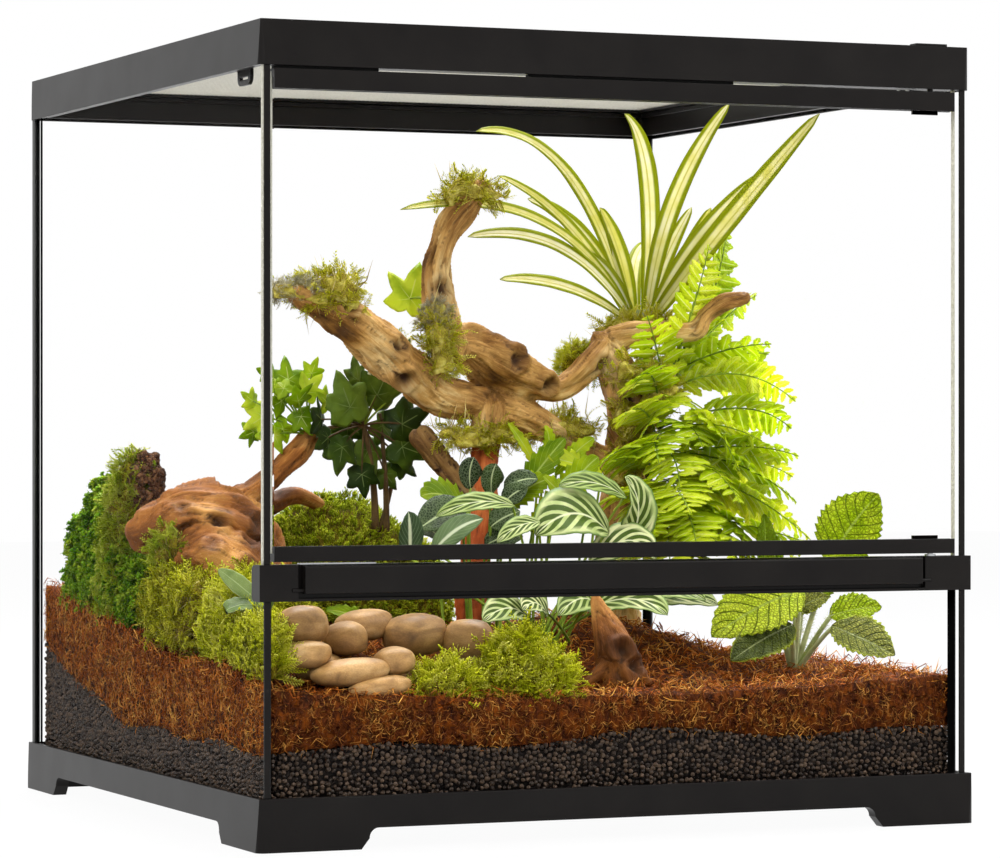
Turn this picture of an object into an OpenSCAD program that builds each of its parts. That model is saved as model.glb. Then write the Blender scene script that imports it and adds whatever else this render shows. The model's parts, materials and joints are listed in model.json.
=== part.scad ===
// Front-opening glass terrarium, planted, with a lift-off mesh lid.
// Millimetres. The origin is the centre of the footprint, on the surface it stands on.
// +X runs to the right along the front, +Y to the back and +Z up.

/* [Case] */
// Outer width of the base frame at the floor
case_w = 470; // [466:1:520]
// Outer depth of the base frame at the floor
case_d = 470; // [466:1:520]
// Height of the top frame's rim above the floor
case_h = 480; // [478:1:520]
// Thickness of the side, back and bottom panes
pane_t = 5; // [4:0.5:5]

/* [Frames] */
// Height of the base frame
base_h = 31; // [29:1:34]
// Height of the top frame's outer band
band_h = 26.5; // [25:0.5:27]
// How much narrower each frame is at its slim end
frame_taper = 3; // [2:0.5:3.5]
// Height of the cut-outs between the feet
arch_h = 12.3; // [9:0.1:12.3]
// Half the width of the cut-outs between the feet
arch_half = 166; // [140:1:175]

/* [Front] */
// Height of the crossbar's underside
bar_z = 144.3; // [140:0.1:146]
// Height of the crossbar
bar_h = 21.2; // [20:0.1:22]
// Thickness of the door pane
door_t = 4; // [4:0.5:5]
// Radius of the door's hinge pins
pin_r = 1.75; // [1.5:0.05:1.9]
// Distance from the centre line to the door's hinge pins
pin_x = 207; // [200:1:210]
// Depth of the lift-off lid's frame
lid_h = 8; // [6:0.5:8.5]

/* [Hidden] */

clear = 0.3;
half_w = case_w / 2;
half_d = case_d / 2;
glass_x = half_w - 4.5;
glass_y = half_d - 4.5;
in_x = glass_x - pane_t;
in_y = glass_y - pane_t;
floor_z = 15;
glass_z = floor_z + pane_t;
band_z = case_h - band_h;
ledge_z = case_h - 9;
channel_z = ledge_z - 3;
leg_z = band_z + 1.5;
rail_y = -(half_d - 16);
post_y = -(half_d - 3.2);
joint_t = 0.7;
window_y = -(half_d - 7);
bar_top = bar_z + bar_h;
bar_y = -(half_d - 1.6);
bar_back = -(half_d - 13.2);
pin_y = -(half_d - 6);
pin_fit = 0.05;
door_x0 = -(in_x - 1.4);
door_x1 = pin_x + 15.2;
door_z0 = bar_top + 1.7;
door_z1 = band_z - 1.9;
trim_y = 9;
trim_low = 8.8;
trim_high = 11.6;
trim_web = 4.8;
bush_h = 4;
bush_r = 3;
lid_x = glass_x - 2.4;
lid_front = -(glass_y - 9.4);
lid_back = glass_y - 2.4;
lid_z = ledge_z + 0.2;
lid_rim = 14;
flap_x0 = -206.3;
flap_x1 = 198;
flap_z = 148.5;
flap_h = 16.5;
flap_t = 5;
flap_y = bar_y - 3;
flap_pin_y = flap_y + 3.5;
flap_pin_z = flap_z + 2.2;
flap_pin_r = 1.1;
catch_y = -173.5;
catch_z = 446;
catch_w = 23;
catch_h = 18.5;
catch_t = 2;
catch_pin_z = leg_z + 1.6;
leg_x = glass_x - 9;
ground_front = window_y + pane_t + clear;
ground_back = in_y - clear;
black = "#242322";
steel = "#b9bcbd";
glass = [0.80, 0.90, 0.88, 0.3];
wood = "#b07a4a";
moss = "#7f9a2a";

function along(a, b, t) = a + (b - a) * t;
function curve(p, t) = along(along(p[0], p[1], t), along(p[1], p[2], t), t);
function unit(v) = v / norm(v);
function slope(p, t) = unit(along(p[1] - p[0], p[2] - p[1], t));
function clamp01(t) = max(0, min(1, t));
function hump(x, y, cx, cy, rx, ry) = exp(-pow((x - cx) / rx, 2) - pow((y - cy) / ry, 2));

// Height of the pellet layer: level, and banked up towards the back left corner
function left_share(x) = clamp01((-x - 20) / 190);
function pellet_z(x, y) = 59 + 3 * sin(x * 2.1 + 40) + 2 * sin(x + y * 3)
    + 41 * pow(clamp01((y - 45) / 180), 1.15) * left_share(x);

// Height of the coir: low at the front, banked up behind on the left and round the wood
function coir_z(x, y) = 83.5 + 9 * pow(x / half_w, 2) + 1.6 * sin(x * 4.1) * sin(y * 3.3)
    + 46 * pow(clamp01((y + 110) / 335), 1.1) * left_share(x)
    + 40 * hump(x, y, 50, -30, 95, 85) + 45 * hump(x, y, -60, 110, 100, 75)
    + 30 * hump(x, y, -165, -125, 60, 50)
    - 12 * clamp01((y + 60) / 285) * clamp01((x - 120) / 100);

// ---------- shapes that repeat ----------

module tapered_box(w0, d0, w1, d1, z0, z1) {
    intersection() {
        rotate([90, 0, 0])
            linear_extrude(d0 + d1, center = true)
                polygon([[-w0 / 2, z0], [w0 / 2, z0], [w1 / 2, z1], [-w1 / 2, z1]]);
        rotate([90, 0, 90])
            linear_extrude(w0 + w1, center = true)
                polygon([[-d0 / 2, z0], [d0 / 2, z0], [d1 / 2, z1], [-d1 / 2, z1]]);
    }
}

module span_box(x0, x1, y0, y1, z0, z1) {
    translate([x0, y0, z0])
        cube([x1 - x0, y1 - y0, z1 - z0]);
}

module rounded_plate(w, h, t, r) {
    linear_extrude(t) {
        square([w - 2 * r, h], center = true);
        square([w, h - 2 * r], center = true);
        for (sx = [-1, 1], sy = [-1, 1])
            translate([sx * (w / 2 - r), sy * (h / 2 - r)])
                circle(r, $fn = 32);
    }
}

module arch_cut(length) {
    r = 6;
    rotate([90, 0, 0])
        linear_extrude(length, center = true) {
            polygon([[-arch_half - 6, -1], [arch_half + 6, -1],
                     [arch_half, arch_h - r], [-arch_half, arch_h - r]]);
            translate([-arch_half + r, 0])
                square([2 * (arch_half - r), arch_h]);
            for (s = [-1, 1])
                translate([s * (arch_half - r), arch_h - r])
                    circle(r, $fn = 48);
        }
}

// A slab of ground whose top and underside follow two height functions on a grid of n by n.
// Its four corner points are drawn in, clear of the seals.
module ground(n, low, high, flat = false) {
    wide = 2 * (in_x - clear);
    deep = ground_back - ground_front;
    function corner(i, j) = (i == 0 || i == n) && (j == 0 || j == n);
    function gx(i, j) = (i / n - 0.5) * (corner(i, j) ? wide - 18 : wide);
    function gy(i, j) = (ground_back + ground_front) / 2 + (j / n - 0.5) * (corner(i, j) ? deep - 18 : deep);
    top = [for (j = [0:n], i = [0:n]) [gx(i, j), gy(i, j), high(gx(i, j), gy(i, j))]];
    base = [for (j = [0:n], i = [0:n]) [gx(i, j), gy(i, j), low(gx(i, j), gy(i, j))]];
    m = (n + 1) * (n + 1);
    rim = concat([for (i = [0:n - 1]) i], [for (j = [0:n - 1]) n + j * (n + 1)],
                 [for (i = [0:n - 1]) m - 1 - i], [for (j = [0:n - 1]) (n - j) * (n + 1)]);
    under = flat ? [[for (k = rim) m + k]]
        : [for (j = [0:n - 1], i = [0:n - 1], k = [0, 1]) let (a = m + j * (n + 1) + i)
            k == 0 ? [a, a + n + 2, a + n + 1] : [a, a + 1, a + n + 2]];
    faces = concat(under,
        [for (j = [0:n - 1], i = [0:n - 1], k = [0, 1]) let (a = j * (n + 1) + i)
            k == 0 ? [a, a + n + 1, a + n + 2] : [a, a + n + 2, a + 1]],
        [for (e = [0:len(rim) - 1], k = [0, 1]) let (a = rim[e], b = rim[(e + 1) % len(rim)])
            k == 0 ? [a, b, m + b] : [a, m + b, m + a]]);
    polyhedron(concat(top, base), faces);
}

// A length of wood: rings of ridged outline along a smooth run of points [x, y, z, radius]
module limb(pts, sides = 8, per = 3, ridge = 0.16, seed = 0) {
    n = len(pts) - 1;
    count = n * per;
    function at(i) = let (s = min(n - 1, floor(i / per)), t = i / per - s,
        a = pts[max(0, s - 1)], b = pts[s], c = pts[s + 1], d = pts[min(n, s + 2)])
        0.5 * (2 * b + (c - a) * t + (2 * a - 5 * b + 4 * c - d) * t * t
            + (3 * b - a - 3 * c + d) * t * t * t);
    function spot(v) = [v[0], v[1], v[2]];
    function way(i) = unit(spot(at(min(count, i + 0.5))) - spot(at(max(0, i - 0.5))));
    function side(i) = unit(cross(way(i), abs(way(i)[2]) > 0.8 ? [0, 1, 0.1] : [0, 0.1, 1]));
    function ring(i) = let (p = at(i), u = side(i), v = cross(way(i), u))
        [for (k = [0:sides - 1]) let (a = 360 * k / sides + i * 7,
            r = p[3] * (1 + ridge * sin(3 * a + seed * 50 + i * 23) + ridge * 0.6 * sin(2 * a - i * 31)))
            spot(p) + u * r * cos(a) + v * r * sin(a)];
    verts = [for (i = [0:count], q = ring(i)) q];
    faces = concat(
        [[for (k = [0:sides - 1]) k]],
        [[for (k = [sides - 1:-1:0]) count * sides + k]],
        [for (i = [0:count - 1], k = [0:sides - 1], f = [0, 1])
            let (a = i * sides + k, b = i * sides + (k + 1) % sides)
            f == 0 ? [a, a + sides, b + sides] : [a, b + sides, b]]);
    polyhedron(verts, faces);
}

// A lumpy dome that sits on the ground: centre, radii, and how rough it is
module dome(c, r, n = 9, rough = 0.1, seed = 0) {
    rings = 4;
    function q(i, k) = let (a = 360 * k / n, e = 90 * i / rings,
        s = 1 + rough * sin(a * 3 + seed * 37 + e * 2) + rough * sin(a * 2 - seed * 61 + e * 3))
        [c[0] + r[0] * s * cos(a) * cos(e), c[1] + r[1] * s * sin(a) * cos(e), c[2] + r[2] * s * sin(e)];
    foot = [for (k = [0:n - 1]) let (p = q(0, k)) [p[0], p[1], c[2] - r[2] * 0.35]];
    verts = concat(foot, [for (i = [0:rings - 1], k = [0:n - 1]) q(i, k)],
                   [[c[0], c[1], c[2] + r[2]]]);
    last = len(verts) - 1;
    faces = concat(
        [[for (k = [0:n - 1]) k]],
        [for (i = [0:rings - 1], k = [0:n - 1], f = [0, 1])
            let (a = i * n + k, b = i * n + (k + 1) % n)
            f == 0 ? [a, a + n, b + n] : [a, b + n, b]],
        [for (k = [0:n - 1]) let (a = rings * n + k, b = rings * n + (k + 1) % n) [a, last, b]]);
    polyhedron(verts, faces);
}

// A leaf: a keeled blade along a curve of three points, widest where peak says
module blade(p, w, peak = 0.4, segs = 7, keel = 0.18, up = [0, 0, 1], t = 1.2) {
    function wide(s) = w / 2 * pow(sin(180 * pow(s, ln(0.5) / ln(peak))), 0.7);
    function row(s) = let (c = curve(p, s), d = slope(p, s), x = unit(cross(d, up)),
        h = unit(cross(x, d)), b = max(0.35, wide(s)))
        [c + x * b + h * b * keel, c - x * b + h * b * keel, c - h * t];
    verts = [for (i = [0:segs], q = row(along(0.02, 0.98, i / segs))) q];
    faces = concat(
        [[2, 1, 0]],
        [[segs * 3, segs * 3 + 1, segs * 3 + 2]],
        [for (i = [0:segs - 1], k = [0:2], f = [0, 1])
            let (a = i * 3 + k, b = i * 3 + (k + 1) % 3)
            f == 0 ? [a, b + 3, a + 3] : [a, b, b + 3]]);
    polyhedron(verts, faces);
}

module twig(a, b, r0, r1, sides = 4) {
    hull() {
        translate(a)
            sphere(r0, $fn = sides);
        translate(b)
            sphere(r1, $fn = sides);
    }
}

// A fern frond: a curved midrib with leaflets in pairs that lean and shorten towards the tip
module frond(p, size, pairs = 7) {
    n = 2 * pairs;
    function row(i) = let (s = i / n, c = curve(p, s), d = slope(p, s),
        x = unit(cross(d, [0, 0.6, 0.8])), h = unit(cross(x, d)), tooth = i % 2 == 1,
        b = tooth ? size * pow(sin(25 + 150 * s), 0.9) : 1 + 1.6 * (1 - s), lean = tooth ? 0.45 * b : 0)
        [c + x * b + d * lean, c + h * 0.8, c - x * b + d * lean, c - h * 0.8];
    verts = [for (i = [0:n], q = row(i)) q];
    faces = concat(
        [[3, 2, 1, 0]],
        [[n * 4, n * 4 + 1, n * 4 + 2, n * 4 + 3]],
        [for (i = [0:n - 1], k = [0:3], f = [0, 1])
            let (a = i * 4 + k, b = i * 4 + (k + 1) % 4)
            k % 2 == 1 ? (f == 0 ? [a, b + 4, a + 4] : [a, b, b + 4])
                : (f == 0 ? [a, b, a + 4] : [b, b + 4, a + 4])]);
    polyhedron(verts, faces);
}

// A lobed ivy leaf: a star of five lobes round its centre, facing the front
module ivy_leaf(c, r, turn, tilt = 0, lean = 0) {
    reach = [1, 0.52, 0.85, 0.45, 0.7, 0.3, 0.7, 0.45, 0.85, 0.52];
    n = len(reach);
    rim = [for (k = [0:n - 1]) [sin(k * 360 / n) * reach[k] * r, 0, cos(k * 360 / n) * reach[k] * r]];
    translate(c)
        rotate([tilt, turn, lean])
            polyhedron(concat(rim, [[0, -1.2, 0], [0, 0.8, 0]]),
                       [for (k = [0:n - 1], f = [0, 1]) let (b = (k + 1) % n)
                           f == 0 ? [k, b, n] : [b, k, n + 1]]);
}

// ---------- base, panes and frames ----------

module base_frame() {
    rib = 3;
    color(black)
        difference() {
            intersection() {
                tapered_box(case_w, case_d, case_w - frame_taper, case_d - frame_taper, 0, base_h);
                rounded_plate(case_w, case_d, base_h, 5);
            }
            span_box(-glass_x - clear, glass_x + clear, -glass_y - clear, glass_y + clear,
                     floor_z, base_h + 1);
            difference() {
                span_box(-half_w + 9, half_w - 9, -half_d + 9, half_d - 9, -1, 12.5);
                for (s = [-2:2]) {
                    span_box(s * 90 - rib / 2, s * 90 + rib / 2, -half_d, half_d, 10, 13);
                    span_box(-half_w, half_w, s * 90 - rib / 2, s * 90 + rib / 2, 10, 13);
                }
            }
            arch_cut(2 * case_d);
            rotate(90)
                arch_cut(2 * case_w);
        }
}

module bottom_glass() {
    color(glass)
        span_box(-glass_x, glass_x, -glass_y, glass_y, floor_z, glass_z);
}

module side_pane(s) {
    color(glass)
        span_box(min(s * in_x, s * glass_x), max(s * in_x, s * glass_x), -glass_y, glass_y,
                 glass_z, channel_z - 0.2);
}

module left_glass() {
    side_pane(-1);
}

module right_glass() {
    side_pane(1);
}

module back_glass() {
    color(glass)
        span_box(-in_x, in_x, in_y, glass_y, glass_z, channel_z - 0.2);
}

module window_glass() {
    color(glass)
        span_box(-in_x + joint_t, in_x - joint_t, window_y, window_y + pane_t, glass_z, bar_z + 5.3);
}

// The black strip that caps a side pane's front edge, below and above the crossbar
module post(s) {
    x0 = in_x + 0.7;
    x1 = glass_x - 0.7;
    color(black)
        for (z = [[base_h, bar_z], [bar_top, band_z]])
            span_box(min(s * x0, s * x1), max(s * x0, s * x1), post_y, -glass_y, z[0], z[1]);
}

module left_post() {
    post(-1);
}

module right_post() {
    post(1);
}

// A slim angle that covers each rear corner joint from outside
module rear_corner_strips() {
    leg = 4.5;
    t = 1.2;
    color(black)
        for (s = [0, 1])
            mirror([s, 0, 0])
                translate([glass_x, glass_y, base_h])
                    linear_extrude(band_z - base_h)
                        polygon([[0, 0], [-leg, 0], [-leg, t], [t - 0.5, t], [t, t - 0.5], [t, -leg],
                                 [0, -leg]]);
}

// The silicone joint between the window pane's ends and the side panes, with a fillet inside
module glass_seals() {
    bead = 3;
    color("#1a1918")
        for (s = [0, 1])
            mirror([s, 0, 0])
                translate([in_x, window_y + pane_t, glass_z])
                    linear_extrude(bar_z - glass_z)
                        difference() {
                            polygon([[0, -pane_t], [-joint_t, -pane_t], [-joint_t, 0], [-bead, 0], [0, bead]]);
                            translate([-bead, bead])
                                circle(bead * 0.9, $fn = 48);
                        }
}

// ---------- crossbar, ventilation flap ----------

module bar_return(s) {
    r = 4;
    y1 = bar_y + 14;
    x0 = glass_x + 0.2;
    t = half_w - 1.8 - x0;
    translate([s > 0 ? x0 : -x0 - t, 0, 0])
        rotate([90, 0, 90])
            linear_extrude(t) {
                translate([bar_y, bar_z])
                    square([y1 - r - bar_y, bar_h]);
                translate([bar_y, bar_z + r])
                    square([y1 - bar_y, bar_h - 2 * r]);
                for (z = [bar_z + r, bar_top - r])
                    translate([y1 - r, z])
                        circle(r, $fn = 40);
            }
}

module crossbar() {
    slots = 11;
    pitch = 34;
    color(black)
        difference() {
            union() {
                span_box(-half_w + 1.8, half_w - 1.8, bar_y, -glass_y - 0.1, bar_z, bar_top);
                span_box(-in_x + 0.1, in_x - 0.1, bar_y + 1, bar_back, bar_z, bar_top);
                for (s = [-1, 1])
                    bar_return(s);
            }
            span_box(-in_x, in_x, window_y - 0.1, window_y + pane_t + 0.1, bar_z - 1, bar_z + 5.5);
            span_box(flap_x0 - 3.2, flap_x1 + 3.2, bar_y - 1, bar_y + 3.8, flap_z - 2.5, bar_top + 1);
            for (i = [0:slots - 1], z = [153.5, 158.5])
                translate([(i - (slots - 1) / 2) * pitch - 15, -half_d, z])
                    cube([30, 20, 3]);
            for (x = [flap_x0 - 3.2, flap_x1 + 3.2])
                translate([x, flap_pin_y, flap_pin_z])
                    rotate([0, 90, 0])
                        cylinder(h = 8, r = flap_pin_r + 0.02, center = true, $fn = 32);
            translate([pin_x, pin_y, bar_top - 8])
                cylinder(h = 9, r = pin_r + 0.02, $fn = 48);
        }
}

module vent_mesh() {
    holes = 44;
    color(steel)
        difference() {
            span_box(-196, 196, bar_back, bar_back + 0.8, 151.5, 163.5);
            for (i = [0:holes - 1], z = [153.6, 158.6])
                translate([(i - (holes - 1) / 2) * 8.6 - 3, bar_back - 1, z])
                    cube([6, 3, 2.8]);
        }
}

module strike_plate() {
    color(steel)
        span_box(-207, -160, pin_y - 0.5, pin_y + 4.5, bar_top, bar_top + 0.8);
}

module flap_pins() {
    color(black)
        for (x = [flap_x0 - 7, flap_x1 - 4])
            translate([x, flap_pin_y, flap_pin_z])
                rotate([0, 90, 0])
                    cylinder(h = 11, r = flap_pin_r, $fn = 32);
}

module vent_flap() {
    r = 1.4;
    color(black)
        difference() {
            translate([flap_x0, flap_y, flap_z])
                rotate([90, 0, 90])
                    linear_extrude(flap_x1 - flap_x0) {
                        translate([r, 0])
                            square([flap_t - 2 * r, flap_h]);
                        translate([0, r])
                            square([flap_t, flap_h - 2 * r]);
                        for (y = [r, flap_t - r], z = [r, flap_h - r])
                            translate([y, z])
                                circle(r, $fn = 32);
                    }
            span_box(flap_x0 + 6, flap_x1 - 6, flap_y + 1.8, flap_y + 6, flap_z + 4.4,
                     flap_z + flap_h - 2);
            for (x = [flap_x0, flap_x1])
                translate([x, flap_pin_y, flap_pin_z])
                    rotate([0, 90, 0])
                        cylinder(h = 9, r = flap_pin_r + pin_fit, center = true, $fn = 32);
        }
}

// ---------- top frame ----------

module top_frame() {
    inner = half_w - 16;
    color(black)
        difference() {
            intersection() {
                tapered_box(case_w - 4, case_d - 4, case_w - 6, case_d - 6, band_z, case_h);
                translate([0, 0, band_z])
                    rounded_plate(case_w - 4, case_d - 4, band_h, 5);
            }
            span_box(-inner, inner, rail_y + 6, half_d - 16, band_z - 1, case_h + 1);
            span_box(-lid_x - 0.4, lid_x + 0.4, lid_front - 0.4, lid_back + 0.4, ledge_z, case_h + 1);
            for (s = [-1, 1])
                span_box(min(s * (in_x - clear), s * (glass_x + clear)),
                         max(s * (in_x - clear), s * (glass_x + clear)),
                         -glass_y - clear, glass_y + clear, band_z - 1, channel_z);
            span_box(-glass_x, glass_x, in_y - clear, glass_y + clear, band_z - 1, channel_z);
            span_box(-leg_x, leg_x, rail_y, glass_y - 9, band_z - 1, channel_z);
            span_box(-in_x, in_x, rail_y, in_y, band_z - 1, leg_z);
            translate([pin_x, pin_y, band_z - 1])
                cylinder(h = band_h + 2, r = pin_r + 0.02, $fn = 48);
            for (s = [-1, 1], y = [-6, 6])
                translate([s * leg_x, catch_y + y, catch_pin_z])
                    rotate([0, 90, 0])
                        cylinder(h = 5, r = 1.02, center = true, $fn = 32);
        }
}

module door_stop_pads() {
    color("#191817")
        for (x = [[-222, -158], [-62, 72]])
            span_box(x[0], x[1], pin_y + 0.5, pin_y + 7, band_z - 1.3, band_z);
}

// ---------- door ----------

module lower_hinge_pin() {
    color(steel)
        translate([pin_x, pin_y, bar_top - 8]) {
            cylinder(h = 8 + 1.7 + bush_h - 0.4, r = pin_r, $fn = 48);
            translate([0, 0, 8])
                cylinder(h = 1.1, r = 3.4, $fn = 48);
        }
}

module upper_hinge_pin() {
    color(black) {
        translate([pin_x, pin_y, door_z1 - bush_h + 0.4])
            cylinder(h = case_h - door_z1 + bush_h, r = pin_r, $fn = 48);
        translate([pin_x, pin_y + 2, case_h])
            rounded_plate(22, 9.2, 1.5, 1.2);
    }
}

module door_glass() {
    color(glass)
        span_box(door_x0 + 0.4, door_x1 - 0.4, pin_y - door_t / 2, pin_y + door_t / 2,
                 door_z0 + trim_web, door_z1 - trim_web);
}

// A door rail: a channel over one edge of the pane, with a bore for the hinge bush
module door_trim(z0, h, groove_z, bore_z) {
    r = 0.8;
    color(black)
        difference() {
            translate([(door_x0 + door_x1) / 2, pin_y, z0])
                rounded_plate(door_x1 - door_x0, trim_y, h, r);
            span_box(door_x0 - 1, door_x1 + 1, pin_y - door_t / 2, pin_y + door_t / 2,
                     groove_z, groove_z + h);
            translate([pin_x, pin_y, bore_z])
                cylinder(h = bush_h + 1, r = bush_r, $fn = 48);
            children();
        }
}

module door_bottom_trim() {
    door_trim(door_z0, trim_low, door_z0 + trim_web, door_z0 - 1)
        magnet_block();
}

module door_top_trim() {
    door_trim(door_z1 - trim_high, trim_high, door_z1 - trim_web - trim_high, door_z1 - bush_h);
}

module magnet_block() {
    span_box(-205, -162, pin_y, pin_y + 3.6, door_z0 - 0.01, door_z0 + 2.6);
}

module door_magnet() {
    color("#6d7072")
        intersection() {
            magnet_block();
            span_box(-205, -162, pin_y, pin_y + 3.6, door_z0, door_z0 + 2.6);
        }
}

module bush(z) {
    color("#8d8a80")
        translate([pin_x, pin_y, z])
            difference() {
                cylinder(h = bush_h, r = bush_r, $fn = 48);
                translate([0, 0, -1])
                    cylinder(h = bush_h + 2, r = pin_r + pin_fit, $fn = 48);
            }
}

module lower_hinge_bush() {
    bush(door_z0);
}

module upper_hinge_bush() {
    bush(door_z1 - bush_h);
}

module hinge_clip(z) {
    color(black)
        span_box(pin_x - 11, pin_x + 6.5, pin_y + door_t / 2, pin_y + door_t / 2 + 2, z, z + 2.1);
}

module lower_hinge_clip() {
    hinge_clip(door_z0 + trim_low);
}

module upper_hinge_clip() {
    hinge_clip(door_z1 - trim_high - 2.1);
}

// ---------- lift-off lid and its catches ----------

module lid_frame() {
    color(black)
        difference() {
            span_box(-lid_x, lid_x, lid_front, lid_back, lid_z, lid_z + lid_h);
            span_box(-lid_x + lid_rim, lid_x - lid_rim, lid_front + lid_rim, lid_back - lid_rim,
                     lid_z - 1, lid_z + lid_h + 1);
            span_box(-lid_x + lid_rim - 3, lid_x - lid_rim + 3, lid_front + lid_rim - 3,
                     lid_back - lid_rim + 3, lid_z + 1.6, lid_z + 2.4);
        }
}

module lid_mesh() {
    n = 17;
    wire = 1;
    wide = 2 * (lid_x - lid_rim + 3);
    deep = lid_back - lid_front - 2 * lid_rim + 6;
    color("#b9b8b0")
        translate([-wide / 2, lid_front + lid_rim - 3, lid_z + 1.6])
            linear_extrude(0.8)
                for (i = [0:n]) {
                    translate([i * (wide - 3) / n, 0])
                        square([3 - 2 * min(1, min(i, n - i)), deep]);
                    translate([0, i * (deep - 3) / n])
                        square([wide, 3 - 2 * min(1, min(i, n - i))]);
                }
}

module catch_pins(s) {
    x0 = leg_x + 2.4;
    color(steel)
        for (y = [-6, 6])
            translate([s * x0, catch_y + y, catch_pin_z])
                rotate([0, -s * 90, 0]) {
                    cylinder(h = 5, r = 1, $fn = 32);
                    translate([0, 0, 4.9])
                        cylinder(h = 1, r = 2.2, $fn = 32);
                }
}

module left_catch_pins() {
    catch_pins(-1);
}

module right_catch_pins() {
    catch_pins(1);
}

module lid_catch(s) {
    r = 5;
    slot = 1.25;
    travel = 4;
    color(black)
        translate([s * (leg_x - 0.2), catch_y, catch_z])
            rotate([90, 0, -s * 90])
                linear_extrude(catch_t)
                    difference() {
                        union() {
                            translate([-catch_w / 2, r])
                                square([catch_w, catch_h - r]);
                            translate([-catch_w / 2 + r, 0])
                                square([catch_w - 2 * r, catch_h]);
                            for (x = [-1, 1])
                                translate([x * (catch_w / 2 - r), r])
                                    circle(r, $fn = 48);
                        }
                        for (x = [-6, 6])
                            translate([x, catch_pin_z - catch_z]) {
                                circle(slot, $fn = 32);
                                translate([-slot, 0])
                                    square([2 * slot, travel + 0.4]);
                                translate([0, travel + 0.4])
                                    circle(slot, $fn = 32);
                            }
                        translate([-7, 3.4])
                            square([14, 1.6]);
                    }
}

module left_lid_catch() {
    lid_catch(-1);
}

module right_lid_catch() {
    lid_catch(1);
}

// ---------- ground ----------

module drainage_pellets() {
    color("#3b3431")
        ground(12, function (x, y) glass_z + 0.1, function (x, y) pellet_z(x, y), flat = true);
}

module coir_bed() {
    color("#7a3f22")
        ground(12, function (x, y) pellet_z(x, y) + 0.1, function (x, y) coir_z(x, y));
}

// ---------- wood and stones ----------

module root_wood() {
    knots = [[-104, -34, 324], [-62, -22, 290], [-30, -12, 330], [-26, -18, 262],
             [22, -4, 296], [52, 2, 266], [84, 4, 284], [152, -12, 314], [6, -12, 214]];
    color(wood) {
        limb([[-150, -40, 331, 7], [-128, -35, 326, 10], [-105, -28, 316, 13], [-79, -20, 300, 15],
              [-54, -10, 282, 16], [-30, 0, 268, 14], [0, 6, 260, 11.5], [30, 10, 254, 11],
              [65, 15, 240, 10], [98, 20, 224, 8]], per = 2, seed = 1);
        limb([[-22, -8, 296, 12], [-30, -10, 322, 10.5], [-34, -10, 345, 10], [-25, -10, 372, 9.5],
              [-10, -10, 390, 9], [-2, -10, 400, 7]], per = 2, seed = 2);
        limb([[-28, -6, 300, 11], [-8, 0, 298, 14], [15, 5, 287, 17], [40, 8, 277, 14],
              [58, 10, 270, 9], [72, 10, 276, 9], [88, 10, 292, 9], [98, 12, 302, 9]], per = 2, seed = 3);
        limb([[94, 12, 304, 8], [104, 10, 286, 13], [112, 12, 262, 14], [112, 14, 220, 13],
              [106, 12, 170, 15], [100, 8, 118, 18], [98, 6, 100, 18]], per = 2, seed = 4);
        limb([[92, 14, 302, 7], [112, 8, 307, 8.5], [135, 0, 308, 7.5], [152, -8, 309, 8],
              [158, -12, 319, 6.5], [170, -16, 328, 6.5], [184, -20, 331, 5]], per = 2, seed = 5);
        limb([[10, 2, 256, 11], [4, -4, 228, 9], [0, -10, 205, 9], [-6, -16, 175, 10],
              [-12, -22, 145, 11], [-16, -26, 100, 13]], per = 2, seed = 6);
        limb([[-44, 0, 240, 6], [-30, -4, 222, 7.5], [-8, -10, 196, 7]], per = 2, seed = 7);
        for (k = knots)
            twig(k, k + [4, 9, 5], 3.4, 6, 6);
    }
}

module side_log() {
    knots = [[-196, 22, 200], [-178, 14, 190], [-160, 10, 184], [-186, -4, 172],
             [-166, -14, 160], [-150, 18, 188], [-128, 46, 206], [-106, 52, 222]];
    color(wood) {
        limb([[-214, 44, 176, 12], [-198, 40, 182, 24], [-178, 34, 182, 28], [-158, 28, 177, 26],
              [-144, 22, 168, 19], [-132, 18, 158, 10]], per = 2, seed = 8);
        limb([[-200, 14, 158, 14], [-184, 10, 160, 23], [-166, 4, 152, 23], [-150, -4, 138, 19],
              [-140, -10, 118, 14]], per = 2, seed = 9);
        limb([[-184, 28, 170, 24], [-182, 26, 136, 24], [-180, 24, 106, 20]], per = 2, seed = 10);
        limb([[-164, 34, 192, 12], [-140, 42, 204, 9], [-118, 50, 218, 8], [-104, 56, 230, 8],
              [-94, 60, 239, 7]], per = 2, seed = 11);
        limb([[-150, 44, 186, 9], [-122, 64, 194, 7], [-98, 76, 201, 6], [-72, 84, 190, 4]],
             per = 2, seed = 12);
        for (k = knots)
            twig(k, k + [3, 8, -6], 3.6, 7, 6);
    }
}

module mossy_stump() {
    top = [-200, 100, 214];
    color(moss) {
        limb([[-204, 104, 112, 19], [-206, 104, 150, 17], [-204, 102, 185, 16], [-201, 101, 208, 15],
              [-198, 100, 220, 11]], per = 2, ridge = 0.2, seed = 13);
        for (k = [0:7])
            twig(top, top + [9 * cos(k * 45), 9 * sin(k * 45), 6 + 4 * sin(k * 137)], 6, 2.4);
    }
}

module root_chip() {
    foot = [24, -164, 92];
    color(wood) {
        limb([[16, -150, 139, 4], [20, -154, 126, 8], [24, -160, 110, 12], [26, -164, 92, 14],
              [26, -166, 80, 13]], per = 2, seed = 14);
        for (k = [0:8])
            twig(foot + [0, 0, 12], foot + [(16 + 7 * sin(k * 97)) * cos(k * 40),
                 (13 + 5 * sin(k * 61)) * sin(k * 40), -4], 5, 2.2);
    }
}

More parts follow.
